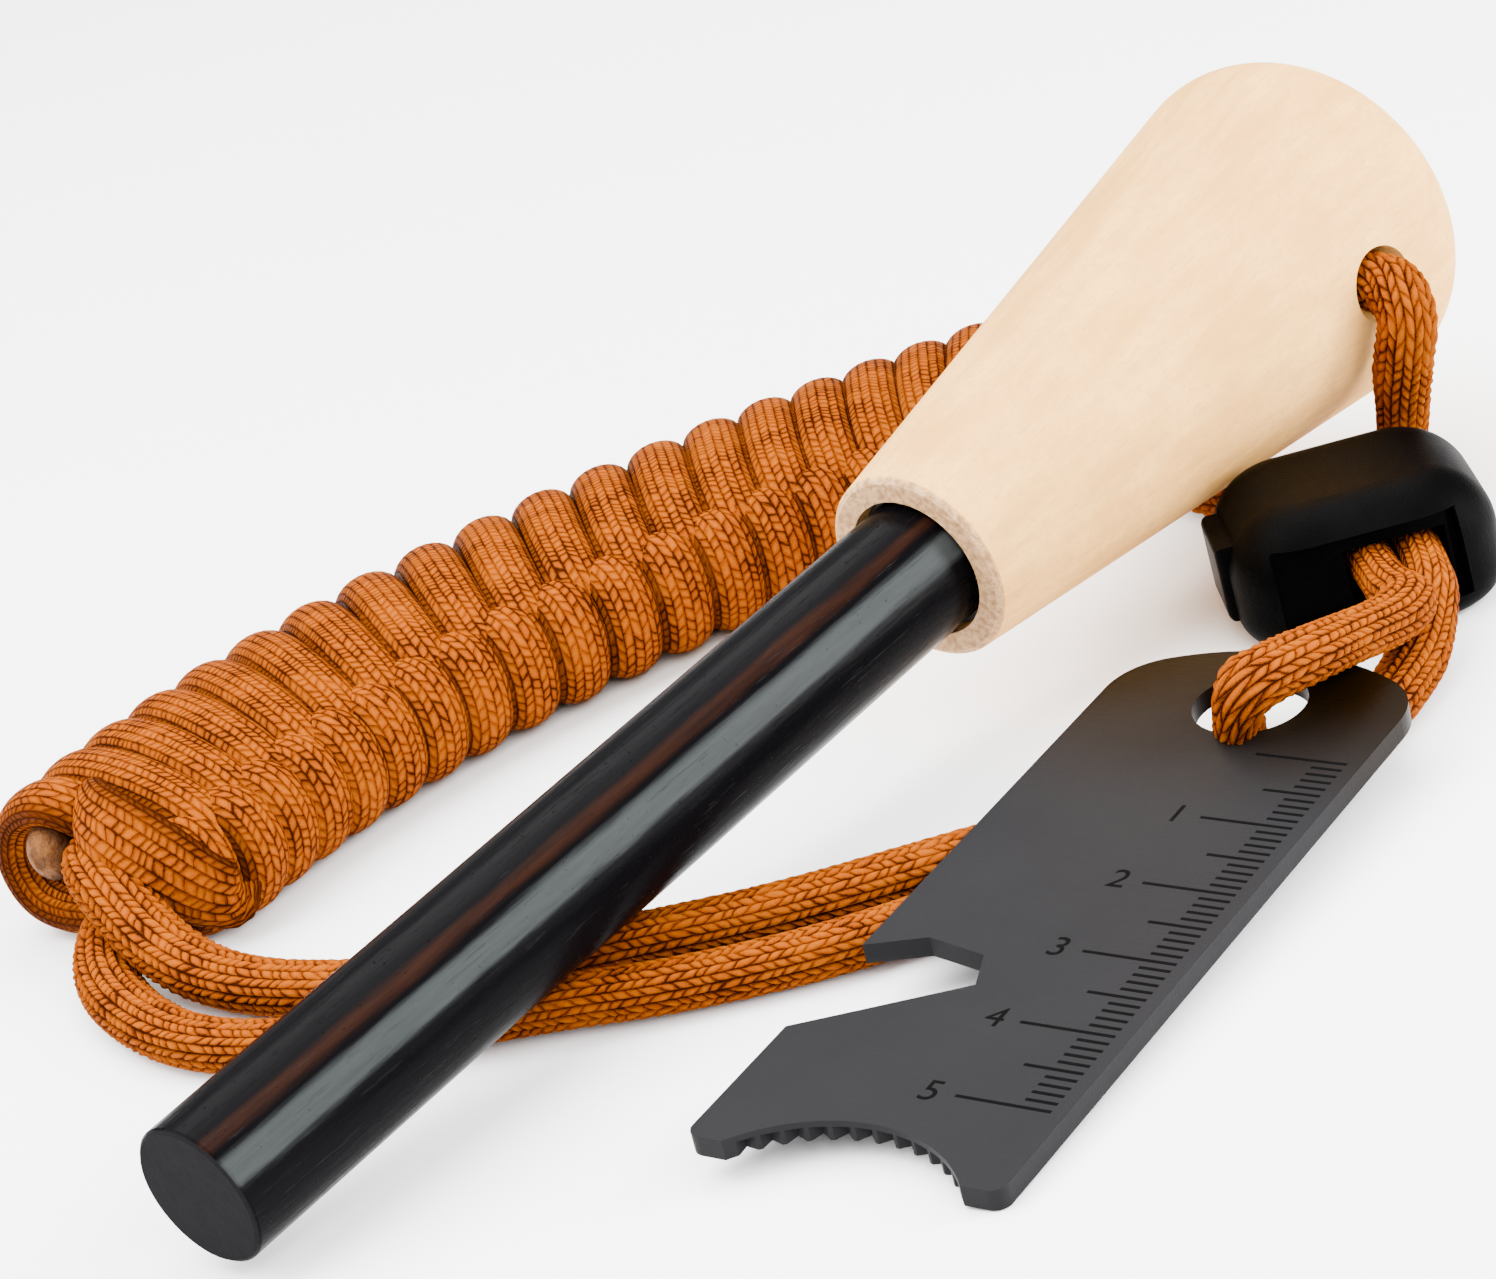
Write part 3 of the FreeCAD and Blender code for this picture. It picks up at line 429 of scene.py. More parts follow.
def at_each(amount, count):
    """A size in millimetres, or one for each point of a line, as sizes in metres."""
    return np.broadcast_to(np.asarray(amount, float), (count,)) * MM


def domed(half):
    """A tube's half size at its points and at the smaller rings of its two domes."""
    return np.concatenate([half[0] * DOME_SHRINK, half, half[-1] * DOME_SHRINK[::-1]])


def tube(name, line, sides, wide, thick, around=32, relief=0.0):
    """A closed tube round a line, with its wide way along the sides and domed ends."""
    way = headings(line)
    other = np.cross(sides, way)
    half_wide = at_each(wide, len(line)) / 2
    half_thick = at_each(thick, len(line)) / 2
    relief = np.pad(at_each(relief, len(line)), DOME_RINGS)
    line = np.concatenate([
        line[:1] - way[:1] * (half_thick[0] * DOME_LEAD)[:, None], line,
        line[-1:] + way[-1:] * (half_thick[-1] * DOME_LEAD[::-1])[:, None]])
    sides = np.pad(sides, ((DOME_RINGS, DOME_RINGS), (0, 0)), mode="edge")
    other = np.pad(other, ((DOME_RINGS, DOME_RINGS), (0, 0)), mode="edge")
    half_wide, half_thick = domed(half_wide), domed(half_thick)
    count = len(line)
    run = run_of(line) / MM

    # The rings, swollen by the yarns
    here = np.arange(around)
    beside = (here + 1) % around
    angle = here * FULL_TURN / around
    ring_share = angle[None] / FULL_TURN
    yarns = braid(ring_share, wandered(ring_share, run[:, None]), STRAND_WEAVE)[2]
    swell = 1 + (yarns - YARN_MIDDLE) * (relief / np.sqrt(half_wide * half_thick))[:, None]
    sideways = (half_wide[:, None] * np.cos(angle) * swell)[..., None]
    upwards = (half_thick[:, None] * np.sin(angle) * swell)[..., None]
    rings = line[:, None] + sides[:, None] * sideways + other[:, None] * upwards
    spots = np.concatenate([rings.reshape(-1, 3), line[:1], line[-1:]])

    # The faces between the rings and the two caps
    base = np.arange(count - 1)[:, None] * around
    quads = np.stack([base + here, base + beside, base + around + beside, base + around + here],
                     axis=-1).reshape(-1, 4)
    far = (count - 1) * around
    start_cap = np.stack([beside, here, np.full(around, count * around)], axis=-1)
    end_cap = np.stack([far + here, far + beside, np.full(around, count * around + 1)], axis=-1)
    mesh = bpy.data.meshes.new(name)
    mesh.from_pydata(spots.tolist(), [],
                     quads.tolist() + start_cap.tolist() + end_cap.tolist())

    # The share round and the way along, at every corner of every face
    share = np.stack([here, here + 1, here + 1, here], axis=-1) / around
    share = np.broadcast_to(share, (count - 1, around, 4))
    along = np.stack([run[:-1], run[:-1], run[1:], run[1:]], axis=-1)
    along = np.broadcast_to(along[:, None], (count - 1, around, 4))
    corners = [np.stack([share, wandered(share, along)], axis=-1).reshape(-1)]
    cap_share = np.stack([here, here + 1, here + 0.5], axis=-1) / around
    for cap_run in (run[0], run[-1]):
        cap_along = np.full_like(cap_share, cap_run)
        corners.append(np.stack([cap_share, cap_along], axis=-1).reshape(-1))
    layer = mesh.uv_layers.new(name="round_and_along")
    layer.data.foreach_set("uv", np.concatenate(corners))
    mesh.polygons.foreach_set("use_smooth", np.ones(len(mesh.polygons), bool))
    mesh.update()
    return linked(name, mesh)


def finish_cord(piece, length, node, paint):
    piece.data.materials.append(paint)
    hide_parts(node)
    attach(piece, "lanyard")
    print(piece.name, "length", round(float(length) / MM, 1), "mm,",
          len(piece.data.polygons), "faces")


# %% [markdown]
# The hank is a doubled cord with the same cord wound round it in figures of eight, which is
# how such a hank is made by hand. Its middle line bends on the floor, more sharply at its
# near end.

# %% The hank's middle line
HANK_MIDDLE = Vector((90.0, 59.0, 7.82))
HANK_HEADING = math.radians(-13.5)
NEAR_BEND, FAR_BEND = 100.0, 164.0
HANK_START = -47.0
CORE_START = -37.0
PAST_START = 5.0
TURNS = 17
PITCH = 6.05
PITCH_SWELL = 0.55


def hank_spot(along, side, height):
    """A point of the hank: along its middle line, to its far side and above its middle."""
    bend = NEAR_BEND if along < 0 else FAR_BEND
    start = Vector((-math.sin(HANK_HEADING), math.cos(HANK_HEADING), 0))
    heading = HANK_HEADING - along / bend
    outward = Vector((-math.sin(heading), math.cos(heading), 0))
    spot = HANK_MIDDLE - start * bend + outward * (bend + side) + Vector((0, 0, height))
    return tuple(spot)


def hank_ways(line):
    """The hank's own direction beside every point of a line, in the frame."""
    middle = np.array(place(*HANK_MIDDLE))[:2]
    ahead = np.array([math.cos(HANK_HEADING), math.sin(HANK_HEADING)])
    across = np.array([-ahead[1], ahead[0]])
    bends = np.where((line[:, :2] - middle) @ ahead < 0, NEAR_BEND, FAR_BEND) * MM
    outward = line[:, :2] - (middle - across * bends[:, None])
    outward /= np.linalg.norm(outward, axis=1)[:, None]
    return np.stack([outward[:, 1], -outward[:, 0], np.zeros(len(line))], axis=1)


def advance(turns):
    """How far along the winding has come after some turns, which are closer at its ends."""
    wave = FULL_TURN / TURNS
    return HANK_START + PITCH * turns - PITCH_SWELL * math.sin(wave * turns) / wave


def into_hank(side, height, lead):
    """The last points of a strand, which runs into the hank's end."""
    return [hank_spot(along, side, height)
            for along in (CORE_START - lead, CORE_START, CORE_START + PAST_START)]


print("hank from", round(advance(0), 1), "to", round(advance(TURNS), 1), "mm")

# %% [markdown]
# The strand through the striker leaves the lock, rises, drops through the plate's hole and
# comes back under the plate to the hank. The second strand lies under the plate beside it.
# A third stretch makes the loop through the handle's cross hole. Each is squeezed to its own
# thickness in the lock and is wider outside it, and the first spreads where it bends into
# the plate's hole.

# %% Strands
HOLE_WAY = Vector((-0.0051, 0.9990, 0.0433))
HOLE_OFFSET = Vector((0.5, 0.0, 0.8))
STRAND_STEP = 0.2
LOCKED_WIDE, LOCKED_THICK = 4.2, 4.1
LOCKED_LENGTH = 12.5
STRAND_RELIEF = 0.42
PLATE_BEND = (91.0, -37.4, 9.8)
SPREAD_FULL, SPREAD_REACH = 1.6, 8


def in_hole(forward):
    """A point of the loop in the handle's cross hole, a little off the hole's middle."""
    return tuple(HINGE_IN_LAYOUT + HOLE_WAY * forward + HOLE_OFFSET)


striker_route = [
    in_lock(LOCK_LEFT, 0), in_lock(LOCK_LEFT, -14.5), (113.8, -37.2, 6.9), (108.4, -38.6, 7.4),
    (100.8, -39.0, 9.3), (93.0, -39.0, 10.9), (88.6, -37.2, 10.6), (90.2, -35.0, 6.5),
    (90.4, -34.6, 2.6), (82.0, -30.6, 2.5), (68.0, -17.6, 2.5), (57.7, -9.0, 2.7),
    (48.4, 0.0, 3.6), (41.4, 11.4, 2.8), (36.4, 23.6, 2.4), (33.8, 35.6, 2.6),
    (34.6, 45.4, 4.2), (37.0, 53.8, 8.2), (39.6, 58.6, 9.2), (42.8, 61.2, 8.9),
    *into_hank(side=2.0, height=0.8, lead=7.0)]
free_route = [
    in_lock(LOCK_RIGHT, 0), in_lock(LOCK_RIGHT, -14.5), (115.6, -37.3, 4.4), (111.0, -38.8, 2.8),
    (104.6, -40.2, 2.2), (97.4, -41.6, 2.15), (86.0, -38.6, 2.15), (70.0, -29.4, 2.15),
    (55.4, -19.6, 2.2), (45.4, -8.6, 2.4), (39.2, 0.4, 2.9), (33.4, 9.8, 2.5),
    (27.8, 20.4, 2.2), (25.0, 31.0, 2.2), (27.2, 42.0, 2.2), (31.4, 51.0, 2.6),
    (37.0, 56.0, 4.0), (42.2, 57.4, 4.4), *into_hank(side=-3.2, height=-0.9, lead=6.4)]
loop_route = [
    in_lock(LOCK_RIGHT, 0), in_lock(LOCK_RIGHT, 13.2), (143.6, -16.0, 6.4), (144.6, -16.4, 9.9),
    (143.6, -18.1, 14.8), (144.0, -20.5, 21.2), in_hole(-15.8), in_hole(15.6),
    (146.0, 21.6, 21.4), (146.6, 20.6, 15.6), (146.2, 18.8, 10.2), (143.8, 14.0, 4.6),
    (140.8, 6.4, 2.6), (139.6, -1.6, 2.8), (138.2, -8.0, 4.6), in_lock(LOCK_LEFT, 13.2),
    in_lock(LOCK_LEFT, 0)]

for name, route, node, wide, thick, locked_ends, spread in (
        ("strand_through_striker", striker_route, "striker_strand", 6.2, 4.2, 1, 1.4),
        ("strand_under_striker", free_route, "free_strand", 5.6, 4.1, 1, 0.0),
        ("loop_through_handle", loop_route, "handle_loop", 5.7, 4.9, 2, 0.0)):
    line, length = drawn(name, route, STRAND_STEP)
    way_out = np.arange(len(line)) * STRAND_STEP
    if locked_ends == 2:
        way_out = np.minimum(way_out, way_out[::-1])
    free = np.clip(way_out / LOCKED_LENGTH - 1, 0, 1)
    from_bend = np.linalg.norm(line - np.array(place(*PLATE_BEND)), axis=1) / MM
    bent = np.clip(SPREAD_FULL - from_bend / SPREAD_REACH, 0, 1)
    piece = tube(name, line, flat_sides(line),
                 wide=LOCKED_WIDE + (wide - LOCKED_WIDE) * free + spread * bent,
                 thick=LOCKED_THICK + (thick - LOCKED_THICK) * free,
                 around=72, relief=STRAND_RELIEF * free)
    finish_cord(piece, length, node, strand_paint)

# %% [markdown]
# One turn of the winding is a figure of eight seen along the hank. The cord comes up the far
# side, runs over the top and dives beside the near shoulder. It goes under the near strand
# of the core, comes up the near side, dives again, and returns to the far side underneath.
# The first turn starts at the top and is smaller on its near side, where the mouth opens.
# The last turn stops short, and the cord's end is tucked back inside the turns before it.

# %% The winding
# Each point: how far to the hank's far side, how far above its middle, and how many turns on.
FIGURE = (
    (-11.2, 2.0, 0.00), (-8.0, 4.4, 0.14), (-4.0, 5.6, 0.36), (0.4, 6.1, 0.62),
    (4.6, 6.0, 0.86), (8.6, 5.4, 1.06), (12.0, 3.4, 1.16), (13.4, -0.4, 1.16),
    (11.8, -4.4, 1.10), (7.6, -5.8, 1.00), (2.0, -5.4, 0.88), (-2.6, -2.6, 0.76),
    (-5.6, 0.8, 0.66), (-8.8, 3.0, 0.60), (-11.8, 3.0, 0.56), (-13.5, 0.6, 0.52),
    (-13.6, -2.2, 0.48), (-12.0, -4.9, 0.50), (-8.6, -5.8, 0.62), (-6.2, -3.6, 0.80),
    (-8.4, -0.4, 0.94))
FIRST_TURN, LAST_TURN = -1, TURNS
FIRST_STEPS = 4
LAST_STEPS = len(FIGURE) - 2
MOUTH_SIDE, MOUTH_AHEAD = 0.84, 0.25
LEAVES_CORE = ((0.0, -1.0, 0.5), (2.0, 3.0, 0.2))
TUCKED = ((-4.6, -3.4, 0.5), (-0.5, -1.6, 1.0), (4.0, -0.6, 1.5))

winding_route = [hank_spot(advance(turns), side, height) for side, height, turns in LEAVES_CORE]
for turn_index in range(FIRST_TURN, LAST_TURN + 1):
    first = FIRST_STEPS if turn_index == FIRST_TURN else 0
    last = LAST_STEPS if turn_index == LAST_TURN else len(FIGURE)
    for side, height, ahead in FIGURE[first:last]:
        if turn_index == FIRST_TURN and side < 0:
            side, ahead = side * MOUTH_SIDE, ahead + MOUTH_AHEAD
        winding_route.append(hank_spot(advance(turn_index + ahead), side, height))
for side, height, behind in TUCKED:
    winding_route.append(hank_spot(advance(LAST_TURN + 1 - behind), side, height))
line, length = drawn("winding", winding_route, step=0.4)
way = headings(line)
sides = hank_ways(line)
sides -= way * np.sum(way * sides, axis=1)[:, None]
sides /= np.linalg.norm(sides, axis=1)[:, None]
winding = tube("wound_cord", line, sides, wide=6.3, thick=4.0, around=24)
finish_cord(winding, length, "hank_winding", winding_paint)

# %% [markdown]
# The cord's end sticks out of the mouth. It was cut and melted, so it ends in a brown bead of
# hard nylon with a rough, nearly flat face and a darker rim. Below it a short bit of cord is
# tucked in. The first wrap lies flat over the mouth's near side, like a ribbon.

# %% The sealed end
SEARED_DARK = (0.05, 0.017, 0.004, 1)
SEARED_PALE = (0.12, 0.045, 0.012, 1)
SEARED_RIM = (0.03, 0.009, 0.002, 1)
BEAD_POINTS = 5
BEAD_LEAD = 0.7
FACING_UP = 0.35
WRAP_END_WIDE, WRAP_SWELL, WRAP_ROUNDING = 3.2, 5.6, 0.8

seared = Paint("seared_nylon", {"Roughness": 0.45, "Specular IOR Level": 0.05})
seared_patch = seared.noise(seared.spot(), 900, detail=3, roughness=0.6)
seared_along = seared.on_tube()[1]
seared_rim = seared.between(seared_along + (seared_patch - 0.5) * 1.2, 0.5, 1.3)
seared_face = seared.mix(seared.between(seared_patch, 0.35, 0.65), SEARED_DARK, SEARED_PALE)
seared.base(seared.mix(seared_rim, seared_face, SEARED_RIM))
seared.bumped(seared_patch, 0.6 * MM)

end_route = [(39.9, 64.8, 9.5), (41.6, 65.4, 9.3), (44.2, 66.8, 8.9),
             *into_hank(side=7.1, height=0.9, lead=5.0)]
line, length = drawn("end", end_route, step=0.25)
sealed = tube("sealed_cord", line, flat_sides(line), wide=4.7, thick=4.4)
sealed.data.materials.append(strand_paint)
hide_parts("sealed_cord_end")
bead_line = line[:BEAD_POINTS] - headings(line)[:BEAD_POINTS] * BEAD_LEAD * MM
bead = tube("seared_bead", bead_line, flat_sides(line)[:BEAD_POINTS], wide=4.8, thick=5.6)
bead.data.materials.append(seared.material)

tucked_route = [(41.4, 51.6, 2.6), (43.4, 52.8, 3.0), (46.6, 55.2, 4.6), (51.0, 57.6, 5.2)]
line, length = drawn("tucked", tucked_route, step=0.25)
tucked = tube("tucked_cord_end", line, flat_sides(line), wide=3.6, thick=2.8)
tucked.data.materials.append(strand_paint)

wrap_route = [hank_spot(*spot) for spot in (
    (-45.0, 3.0, 5.2), (-49.4, 0.6, 5.6), (-51.8, -3.4, 4.2), (-52.4, -7.6, 1.4),
    (-51.4, -10.8, -1.8), (-48.6, -12.2, -3.8), (-44.0, -11.4, -4.0))]
line, length = drawn("wrap", wrap_route, step=0.3)
facing = -hank_ways(line) + np.array([0.0, 0.0, FACING_UP])
across_wrap = np.cross(headings(line), facing)
across_wrap /= np.linalg.norm(across_wrap, axis=1)[:, None]
wrap_arch = np.sin(np.linspace(0, math.pi, len(line))) ** WRAP_ROUNDING
first_wrap = tube("first_wrap", line, across_wrap,
                  wide=WRAP_END_WIDE + WRAP_SWELL * wrap_arch, thick=3.4)
first_wrap.data.materials.append(winding_paint)
mouth_pieces = (sealed, bead, tucked, first_wrap)
for piece in mouth_pieces:
    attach(piece, "lanyard")
print("mouth", [piece.name for piece in mouth_pieces])

# %% [markdown]
# Inside the hank lies the doubled cord itself. It is hidden, but it keeps the hank whole where
# the turns open. It runs to the far end and back, and the sealed end is one of its own ends.

# %% The hank's core
CORE_STATIONS = (-36, -20, 0, 20, 40, 47)
CORE_OUT, CORE_BACK = (5.0, 0.6), (-9.6, -0.4)
CORE_TURN = (49.5, 0.0, 0.2)

core_route = [hank_spot(along, *CORE_OUT) for along in CORE_STATIONS]
core_route += [hank_spot(*CORE_TURN)]
core_route += [hank_spot(along, *CORE_BACK) for along in reversed(CORE_STATIONS)]
line, length = drawn("core", core_route, step=0.5)
core = tube("doubled_cord_inside", line, flat_sides(line), wide=4.4, thick=4.2, around=24)
finish_cord(core, length, "hank_core", strand_paint)

# %% [markdown]
# The handle is turned from pale maple. Its fibres run along its axis, so the streaks of the
# grain are long that way, and the cut face round the rod shows darker end grain. The tool
# left a slightly furry edge there.

# %% Handle
HANDLE_RISE = math.radians(6.67)
RING_FACE = -53.2
MAPLE_DARK, MAPLE_PALE = (0.62, 0.30, 0.07, 1), (0.80, 0.43, 0.115, 1)
MAPLE_BLOTCH, MAPLE_PORE = (0.55, 0.30, 0.09, 1), (0.46, 0.25, 0.08, 1)
END_DARK, END_PALE = (0.30, 0.155, 0.065, 1), (0.52, 0.31, 0.15, 1)

wood = Paint("turned_maple", {"Roughness": 0.6, "Specular IOR Level": 0.12})
wood_spot = wood.turned(place(*HINGE_IN_LAYOUT), (0, -HANDLE_RISE, 0))
wood_along = wood.parts_of(wood_spot)[0]
grain = wood.streaks(wood_spot, (50, 420, 420), detail=4, roughness=0.6)
pores = wood.streaks(wood_spot, (500, 4200, 4200), detail=2, roughness=0.7)
cloud = wood.noise(wood_spot, 70, detail=2, roughness=0.5)
blotch = wood.noise(wood_spot, 800, detail=4, roughness=0.7)
end_noise = wood.noise(wood_spot, 1500, detail=4, roughness=0.7)
past_ring = wood_along * IN_MM - RING_FACE + (end_noise - 0.5) * 0.6
end_grain = 1.0 - wood.between(past_ring, 0.25, 0.6)
wood_tone = wood.mix(wood.between(grain * 0.6 + cloud * 0.5, 0.4, 0.72), MAPLE_DARK, MAPLE_PALE)
wood_tone = wood.mix(wood.between(blotch, 0.42, 0.68) * 0.4, wood_tone, MAPLE_BLOTCH)
wood_tone = wood.mix(wood.between(pores, 0.54, 0.7) * 0.45, wood_tone, MAPLE_PORE)
end_tone = wood.mix(wood.between(end_noise, 0.35, 0.65), END_DARK, END_PALE)
wood.base(wood.mix(end_grain, wood_tone, end_tone))
wood.rough(0.55 + pores * 0.2)
wood.bumped(pores * 0.3 + grain * 0.4 + end_grain * end_noise * 1.5, 0.12 * MM)


def repaint(node, paint):
    """Gives an exact piece its finish."""
    piece = nodes[node]
    if not piece.material_slots:
        piece.data.materials.append(paint.material)
    for slot in piece.material_slots:
        slot.material = paint.material
    print(node, "painted with", paint.material.name)


repaint("handle", wood)

# %% [markdown]
# The rod is coated with black lacquer. A painted brown reflection runs in a line along its top,
# and beside that line a painted grey reflection of the room. The coating has small pits, drawn
# scratches and a soft waviness. The cut tip is bare and dull.

# %% Rod and glue
ROD_RISE = math.radians(5.77)
ROD_START = (0, 0, 7.8)
# Where the painted brown and grey reflections lie round the rod, and their colours.
REFLECTED_BROWN_ANGLE, REFLECTED_BROWN_HALF = 0.62, (0.03, 0.17)
REFLECTED_GREY_ANGLE, REFLECTED_GREY_HALF = 1.06, (0.12, 0.26)
LACQUER_BLACK, LACQUER_REFLECTED_BROWN = (0.0012, 0.0011, 0.0014, 1), (0.013, 0.0045, 0.0024, 1)
LACQUER_REFLECTED_GREY, SCRATCH_TONE = (0.025, 0.028, 0.028, 1), (0.012, 0.011, 0.01, 1)
TIP_TONE = (0.0055, 0.0052, 0.0058, 1)
GLUE_DARK, GLUE_PALE = (0.006, 0.005, 0.004, 1), (0.03, 0.018, 0.01, 1)

lacquer = Paint("black_lacquer", {"Roughness": 0.22, "Specular IOR Level": 0.4, "IOR": 1.08})
rod_spot = lacquer.turned(place(*ROD_START), (0, -ROD_RISE, 0))
rod_along, rod_across, rod_up = lacquer.parts_of(rod_spot)
rod_angle = lacquer.maths("ARCTAN2", rod_across, rod_up)
wave = lacquer.streaks(rod_spot, (60, 500, 500), detail=3, roughness=0.6)
streak = lacquer.streaks(rod_spot, (90, 1500, 1500), detail=3, roughness=0.7)
scratch = lacquer.streaks(rod_spot, (120, 2500, 2500), detail=3, roughness=0.7)
scratch = lacquer.between(scratch, 0.62, 0.7)
pit = lacquer.between(lacquer.noise(rod_spot, 2600, detail=2, roughness=0.5), 0.7, 0.78)
tip_face = 1.0 - lacquer.between(rod_along * IN_MM, 0.15, 0.3)
# A painted brown reflection along the rod's top, and a painted grey reflection of the room beside
# it.
painted_brown_reflection = 1.0 - lacquer.between(abs(rod_angle + REFLECTED_BROWN_ANGLE + (wave - 0.5) * 0.2), *REFLECTED_BROWN_HALF)
painted_grey_reflection = 1.0 - lacquer.between(abs(rod_angle + REFLECTED_GREY_ANGLE + (streak - 0.5) * 0.16), *REFLECTED_GREY_HALF)
rod_tone = lacquer.mix(painted_brown_reflection * (streak * 1.6 - 0.1), LACQUER_BLACK, LACQUER_REFLECTED_BROWN)
rod_tone = lacquer.mix(painted_grey_reflection * (0.55 + streak * 0.6), rod_tone, LACQUER_REFLECTED_GREY)
rod_tone = lacquer.mix(scratch * 0.25, rod_tone, SCRATCH_TONE)
lacquer.base(lacquer.mix(tip_face, rod_tone, TIP_TONE))
lacquer.rough(0.2 + wave * 0.14 + tip_face * 0.5 + pit * 0.2)
lacquer.bumped(wave * 0.5 - pit * 0.5 - scratch * 0.15, 0.2 * MM)
repaint("ferro_rod", lacquer)

glue = Paint("cured_glue", {"Roughness": 0.5, "Specular IOR Level": 0.3})
glue.base(glue.mix(glue.noise(glue.spot(), 800), GLUE_DARK, GLUE_PALE))
repaint("rod_adhesive", glue)

# %% [markdown]
# The striker is stamped from steel sheet and blackened. Rolling left faint lines along it, and
# its face reflects the room softly. Towards its crown a brown reflection of the wood is painted
# into its colour.

# %% Striker
PLATE_CORNER = Vector((27.7, -56.9, 0.05))
PLATE_TURN = (math.radians(5.0), math.radians(-3.4), math.radians(7.2))
PLATE_THICKNESS = 1.8
CROWN_START, CROWN_FULL = 48.0, 72.0
STEEL_DARK, STEEL_PALE = (0.0072, 0.0071, 0.0078, 1), (0.0108, 0.0106, 0.0114, 1)
STEEL_REFLECTED_WOOD = (0.0038, 0.0016, 0.0, 1)

plate_turn = (Matrix.Rotation(PLATE_TURN[2], 3, "Z") @ Matrix.Rotation(PLATE_TURN[1], 3, "Y")
              @ Matrix.Rotation(PLATE_TURN[0], 3, "X"))
plate_origin = PLATE_CORNER + plate_turn @ Vector((0, 0, PLATE_THICKNESS))
steel = Paint("blackened_steel", {"Roughness": 0.35, "Specular IOR Level": 0.3, "IOR": 1.12})
steel_spot = steel.turned(place(*plate_origin), PLATE_TURN)
steel_along = steel.parts_of(steel_spot)[0]
rolled = steel.streaks(steel_spot, (2500, 90, 90), detail=3, roughness=0.6)
smudge = steel.noise(steel_spot, 60, detail=3, roughness=0.55)
speck = steel.noise(steel_spot, 3500)
# A brown reflection of the wood, painted on towards the striker's crown.
painted_wood_reflection = steel.between(steel_along * IN_MM + (smudge - 0.5) * 10, CROWN_START, CROWN_FULL)
steel.base(steel.mix(painted_wood_reflection, steel.mix(smudge, STEEL_DARK, STEEL_PALE), STEEL_REFLECTED_WOOD))
steel.rough(0.4 + smudge * 0.1 + rolled * 0.08 - painted_wood_reflection * 0.16)
steel.bumped(rolled * 0.5 + speck * 0.4, 0.04 * MM)
repaint("striker_plate", steel)

# %% [markdown]
# The ruler is cut into the face: fifty-one lines a millimetre apart from the toothed end, long
# at each centimetre and half long at each fifth line, with plain numbers at the centimetres.
# One small bar is repeated along a line of points, whose number in the line sets its length.

# %% Ruler
RULER_LINES = 51
RULER_START = 60.0
RULER_EDGE = 1.3
RULER_PITCH = -1.0
LINE_WIDTH = 0.34
LINE_HEIGHT = 0.03
SHORT, MIDDLE, LONG = 2.8, 5.2, 8.4
NUMBER_SIZE = 3.6
NUMBER_GAP = 2.2
CUT_DARK, CUT_PALE = (0.0006, 0.0006, 0.0006, 1), (0.0012, 0.0012, 0.0012, 1)

ruler_paint = Paint("ruler_cuts", {"Roughness": 0.7, "Specular IOR Level": 0.02})
ruler_paint.base(ruler_paint.mix(ruler_paint.noise(ruler_paint.spot(), 900), CUT_DARK, CUT_PALE))


def ruler_nodes():
    """Geometry nodes: bars on a line of points, with their lengths by their number."""
    group = bpy.data.node_groups.new("ruler_lines", "GeometryNodeTree")
    group.interface.new_socket("Geometry", in_out="INPUT", socket_type="NodeSocketGeometry")
    pitch = group.interface.new_socket("Pitch", in_out="INPUT", socket_type="NodeSocketFloat")
    group.interface.new_socket("Geometry", in_out="OUTPUT", socket_type="NodeSocketGeometry")
    given = group.nodes.new("NodeGroupInput")
    result = group.nodes.new("NodeGroupOutput")

    def make(kind, inputs, **settings):
        """A node with its settings, and its inputs linked or set."""
        node = group.nodes.new(kind)
        for key, setting in settings.items():
            setattr(node, key, setting)
        for key, amount in inputs.items():
            if isinstance(amount, bpy.types.NodeSocket):
                group.links.new(amount, node.inputs[key])
            else:
                node.inputs[key].default_value = amount
        return node.outputs[0]

    def maths(operation, first, second):
        return make("ShaderNodeMath", {0: first, 1: second}, operation=operation)

    def every(count, extra):
        """An extra length on each line whose number is a multiple of the count."""
        is_multiple = maths("LESS_THAN", maths("MODULO", index, count), 0.5)
        return maths("MULTIPLY", is_multiple, extra)

    index = make("GeometryNodeInputIndex", {})
    offset = make("ShaderNodeCombineXYZ", {"X": given.outputs["Pitch"]})
    row = make("GeometryNodeMeshLine", {"Count": RULER_LINES, "Offset": offset})
    longer = maths("ADD", every(5, MIDDLE / SHORT - 1), every(10, (LONG - MIDDLE) / SHORT))
    scale = make("ShaderNodeCombineXYZ", {"X": 1.0, "Y": maths("ADD", longer, 1.0), "Z": 1.0})
    bar = make("GeometryNodeMeshCube",
               {"Size": (LINE_WIDTH * MM, SHORT * MM, LINE_HEIGHT * MM)})
    seat = make("GeometryNodeTransform",
                {"Geometry": bar, "Translation": (0, SHORT * MM / 2, 0)})
    spread = make("GeometryNodeInstanceOnPoints",
                  {"Points": row, "Instance": seat, "Scale": scale})
    real = make("GeometryNodeRealizeInstances", {"Geometry": spread})
    painted = make("GeometryNodeSetMaterial",
                   {"Geometry": real, "Material": ruler_paint.material})
    group.links.new(painted, result.inputs[0])
    return group, pitch.identifier


def laid_on_striker(name, mesh):
    """Moves a mesh drawn on the striker's face to its place and sets it on the striker."""
    mesh.transform(Matrix.Translation(place(*plate_origin)) @ plate_turn.to_4x4())
    piece = linked(name, mesh)
    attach(piece, "striker")


seed = linked("ruler_seed", bpy.data.meshes.new("ruler_seed"))
modifier = seed.modifiers.new("ruler", "NODES")
modifier.node_group, pitch_socket = ruler_nodes()
modifier[pitch_socket] = RULER_PITCH * MM
ruler_mesh = plain_mesh(seed)
bpy.data.objects.remove(seed)
ruler_mesh.transform(Matrix.Translation(Vector((RULER_START, RULER_EDGE, 0)) * MM))
laid_on_striker("ruler_lines", ruler_mesh)
print("ruler", len(ruler_mesh.vertices) // 8, "lines")

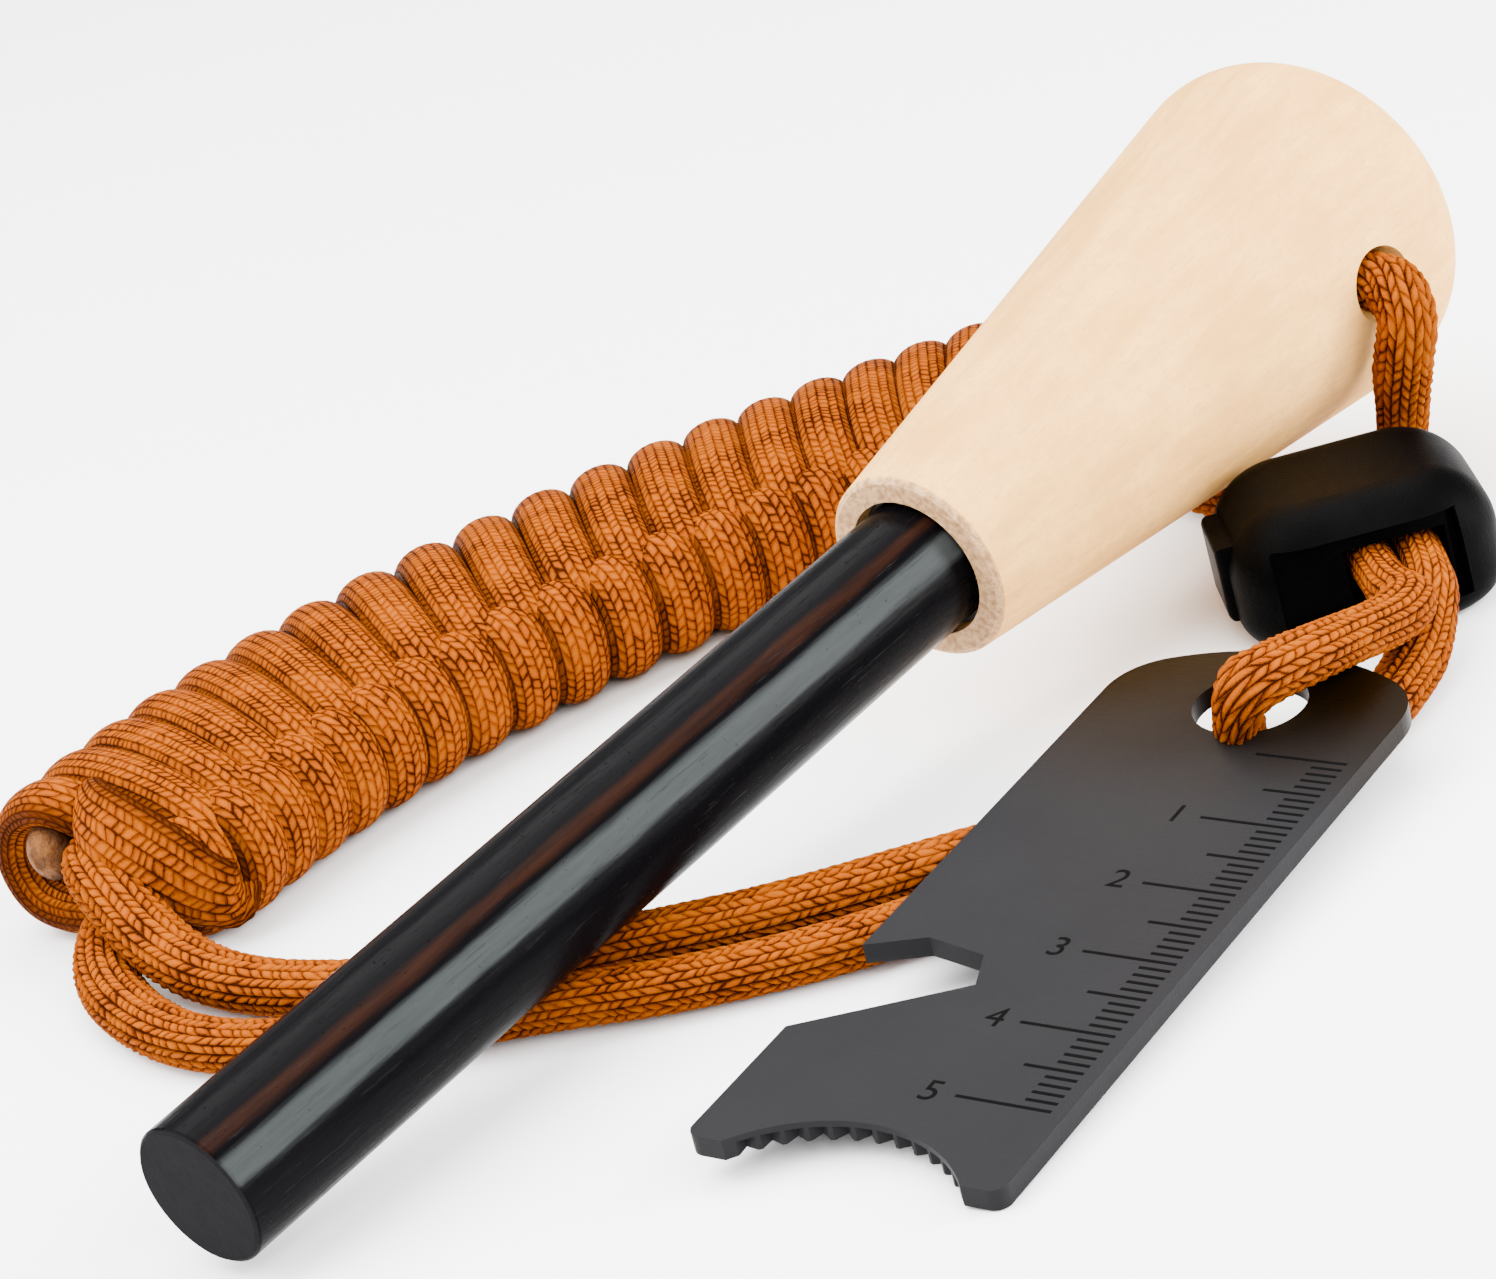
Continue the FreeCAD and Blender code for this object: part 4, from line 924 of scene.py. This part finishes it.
for number in range(1, 6):
    text = bpy.data.curves.new("number", "FONT")
    text.body = str(number)
    text.size = NUMBER_SIZE * MM
    text.extrude = LINE_HEIGHT / 2 * MM
    text.align_x = "CENTER"
    text.align_y = "CENTER"
    glyph = linked("number", text)
    mesh = plain_mesh(glyph)
    bpy.data.objects.remove(glyph)
    mesh.transform(Matrix.Rotation(math.radians(-90), 4, "Z"))
    centre = Vector((RULER_START - number * 10, RULER_EDGE + LONG + NUMBER_GAP, 0))
    mesh.transform(Matrix.Translation(centre * MM))
    mesh.materials.append(ruler_paint.material)
    laid_on_striker("ruler_number_%d" % number, mesh)

# %% [markdown]
# The cord lock is moulded from black plastic with a fine sparked grain. Its plunger is of the
# same plastic, and its spring of bright wire.

# %% Cord lock
PLASTIC_DARK, PLASTIC_PALE = (0.0003, 0.0003, 0.0003, 1), (0.0008, 0.0008, 0.0009, 1)
WIRE_DARK, WIRE_PALE = (0.35, 0.34, 0.32, 1), (0.55, 0.54, 0.52, 1)

for node, label, shine in (("lock_body", "lock_plastic", 0.46), ("lock_plunger", "plunger", 0.4)):
    plastic = Paint(label, {"Roughness": shine, "Specular IOR Level": 0.4, "IOR": 1.07})
    plastic_spot = plastic.spot()
    spark = plastic.noise(plastic_spot, 3800, detail=2, roughness=0.6)
    rub = plastic.noise(plastic_spot, 130, detail=3, roughness=0.6)
    plastic.base(plastic.mix(plastic.between(rub, 0.4, 0.7), PLASTIC_DARK, PLASTIC_PALE))
    plastic.rough(shine - 0.08 + rub * 0.2)
    plastic.bumped(spark, 0.05 * MM)
    repaint(node, plastic)

wire = Paint("spring_wire", {"Metallic": 1.0, "Roughness": 0.3})
wire.base(wire.mix(wire.noise(wire.spot(), 2000), WIRE_DARK, WIRE_PALE))
repaint("lock_spring", wire)

# %% [markdown]
# The floor is a large pale sheet, and the light comes from soft boxes above and beside the
# object, as in a photograph of goods for sale.

# %% Floor and light
REACH = 6.0
FLOOR_DARK, FLOOR_PALE = (0.955973, 0.955973, 0.955973, 1), (0.982251, 0.982251, 0.982251, 1)
ROOM_LIGHT = 0.95

floor_mesh = bpy.data.meshes.new("floor")
floor_mesh.from_pydata([(-REACH, -REACH, 0), (REACH, -REACH, 0), (REACH, REACH, 0),
                        (-REACH, REACH, 0)], [], [(0, 1, 2, 3)])
floor = linked("floor", floor_mesh)
floor_paint = Paint("pale_floor", {"Roughness": 0.9, "Specular IOR Level": 0.1})
floor_cloud = floor_paint.noise(floor_paint.spot(), 3.0, detail=1)
floor_paint.base(floor_paint.mix(floor_cloud, FLOOR_DARK, FLOOR_PALE))
floor_mesh.materials.append(floor_paint.material)

world = bpy.data.worlds.new("room")
world.use_nodes = True
background = world.node_tree.nodes["Background"]
background.inputs["Color"].default_value = (1, 1, 1, 1)
background.inputs["Strength"].default_value = ROOM_LIGHT
bpy.context.scene.world = world

# Each soft box has its place and its aim in the layout, its two sides in metres and its watts.
for name, spot, aim, width, height, power in (
        ("top_box", (120, 260, 900), (60, 20, 0), 1.2, 1.2, 46.0),
        ("right_box", (430, -430, 170), (60, 0, 10), 0.2, 0.5, 11.0),
        ("left_box", (-330, 260, 330), (60, 20, 10), 0.4, 0.6, 8.0),
        ("front_box", (-60, -520, 420), (90, 0, 10), 0.7, 0.5, 12.0)):
    data = bpy.data.lights.new(name, "AREA")
    data.shape = "RECTANGLE"
    data.size = width
    data.size_y = height
    data.energy = power
    light = linked(name, data)
    light.location = place(*spot)
    facing = place(*aim) - place(*spot)
    light.rotation_euler = facing.to_track_quat("-Z", "Y").to_euler()
print("lights ready")
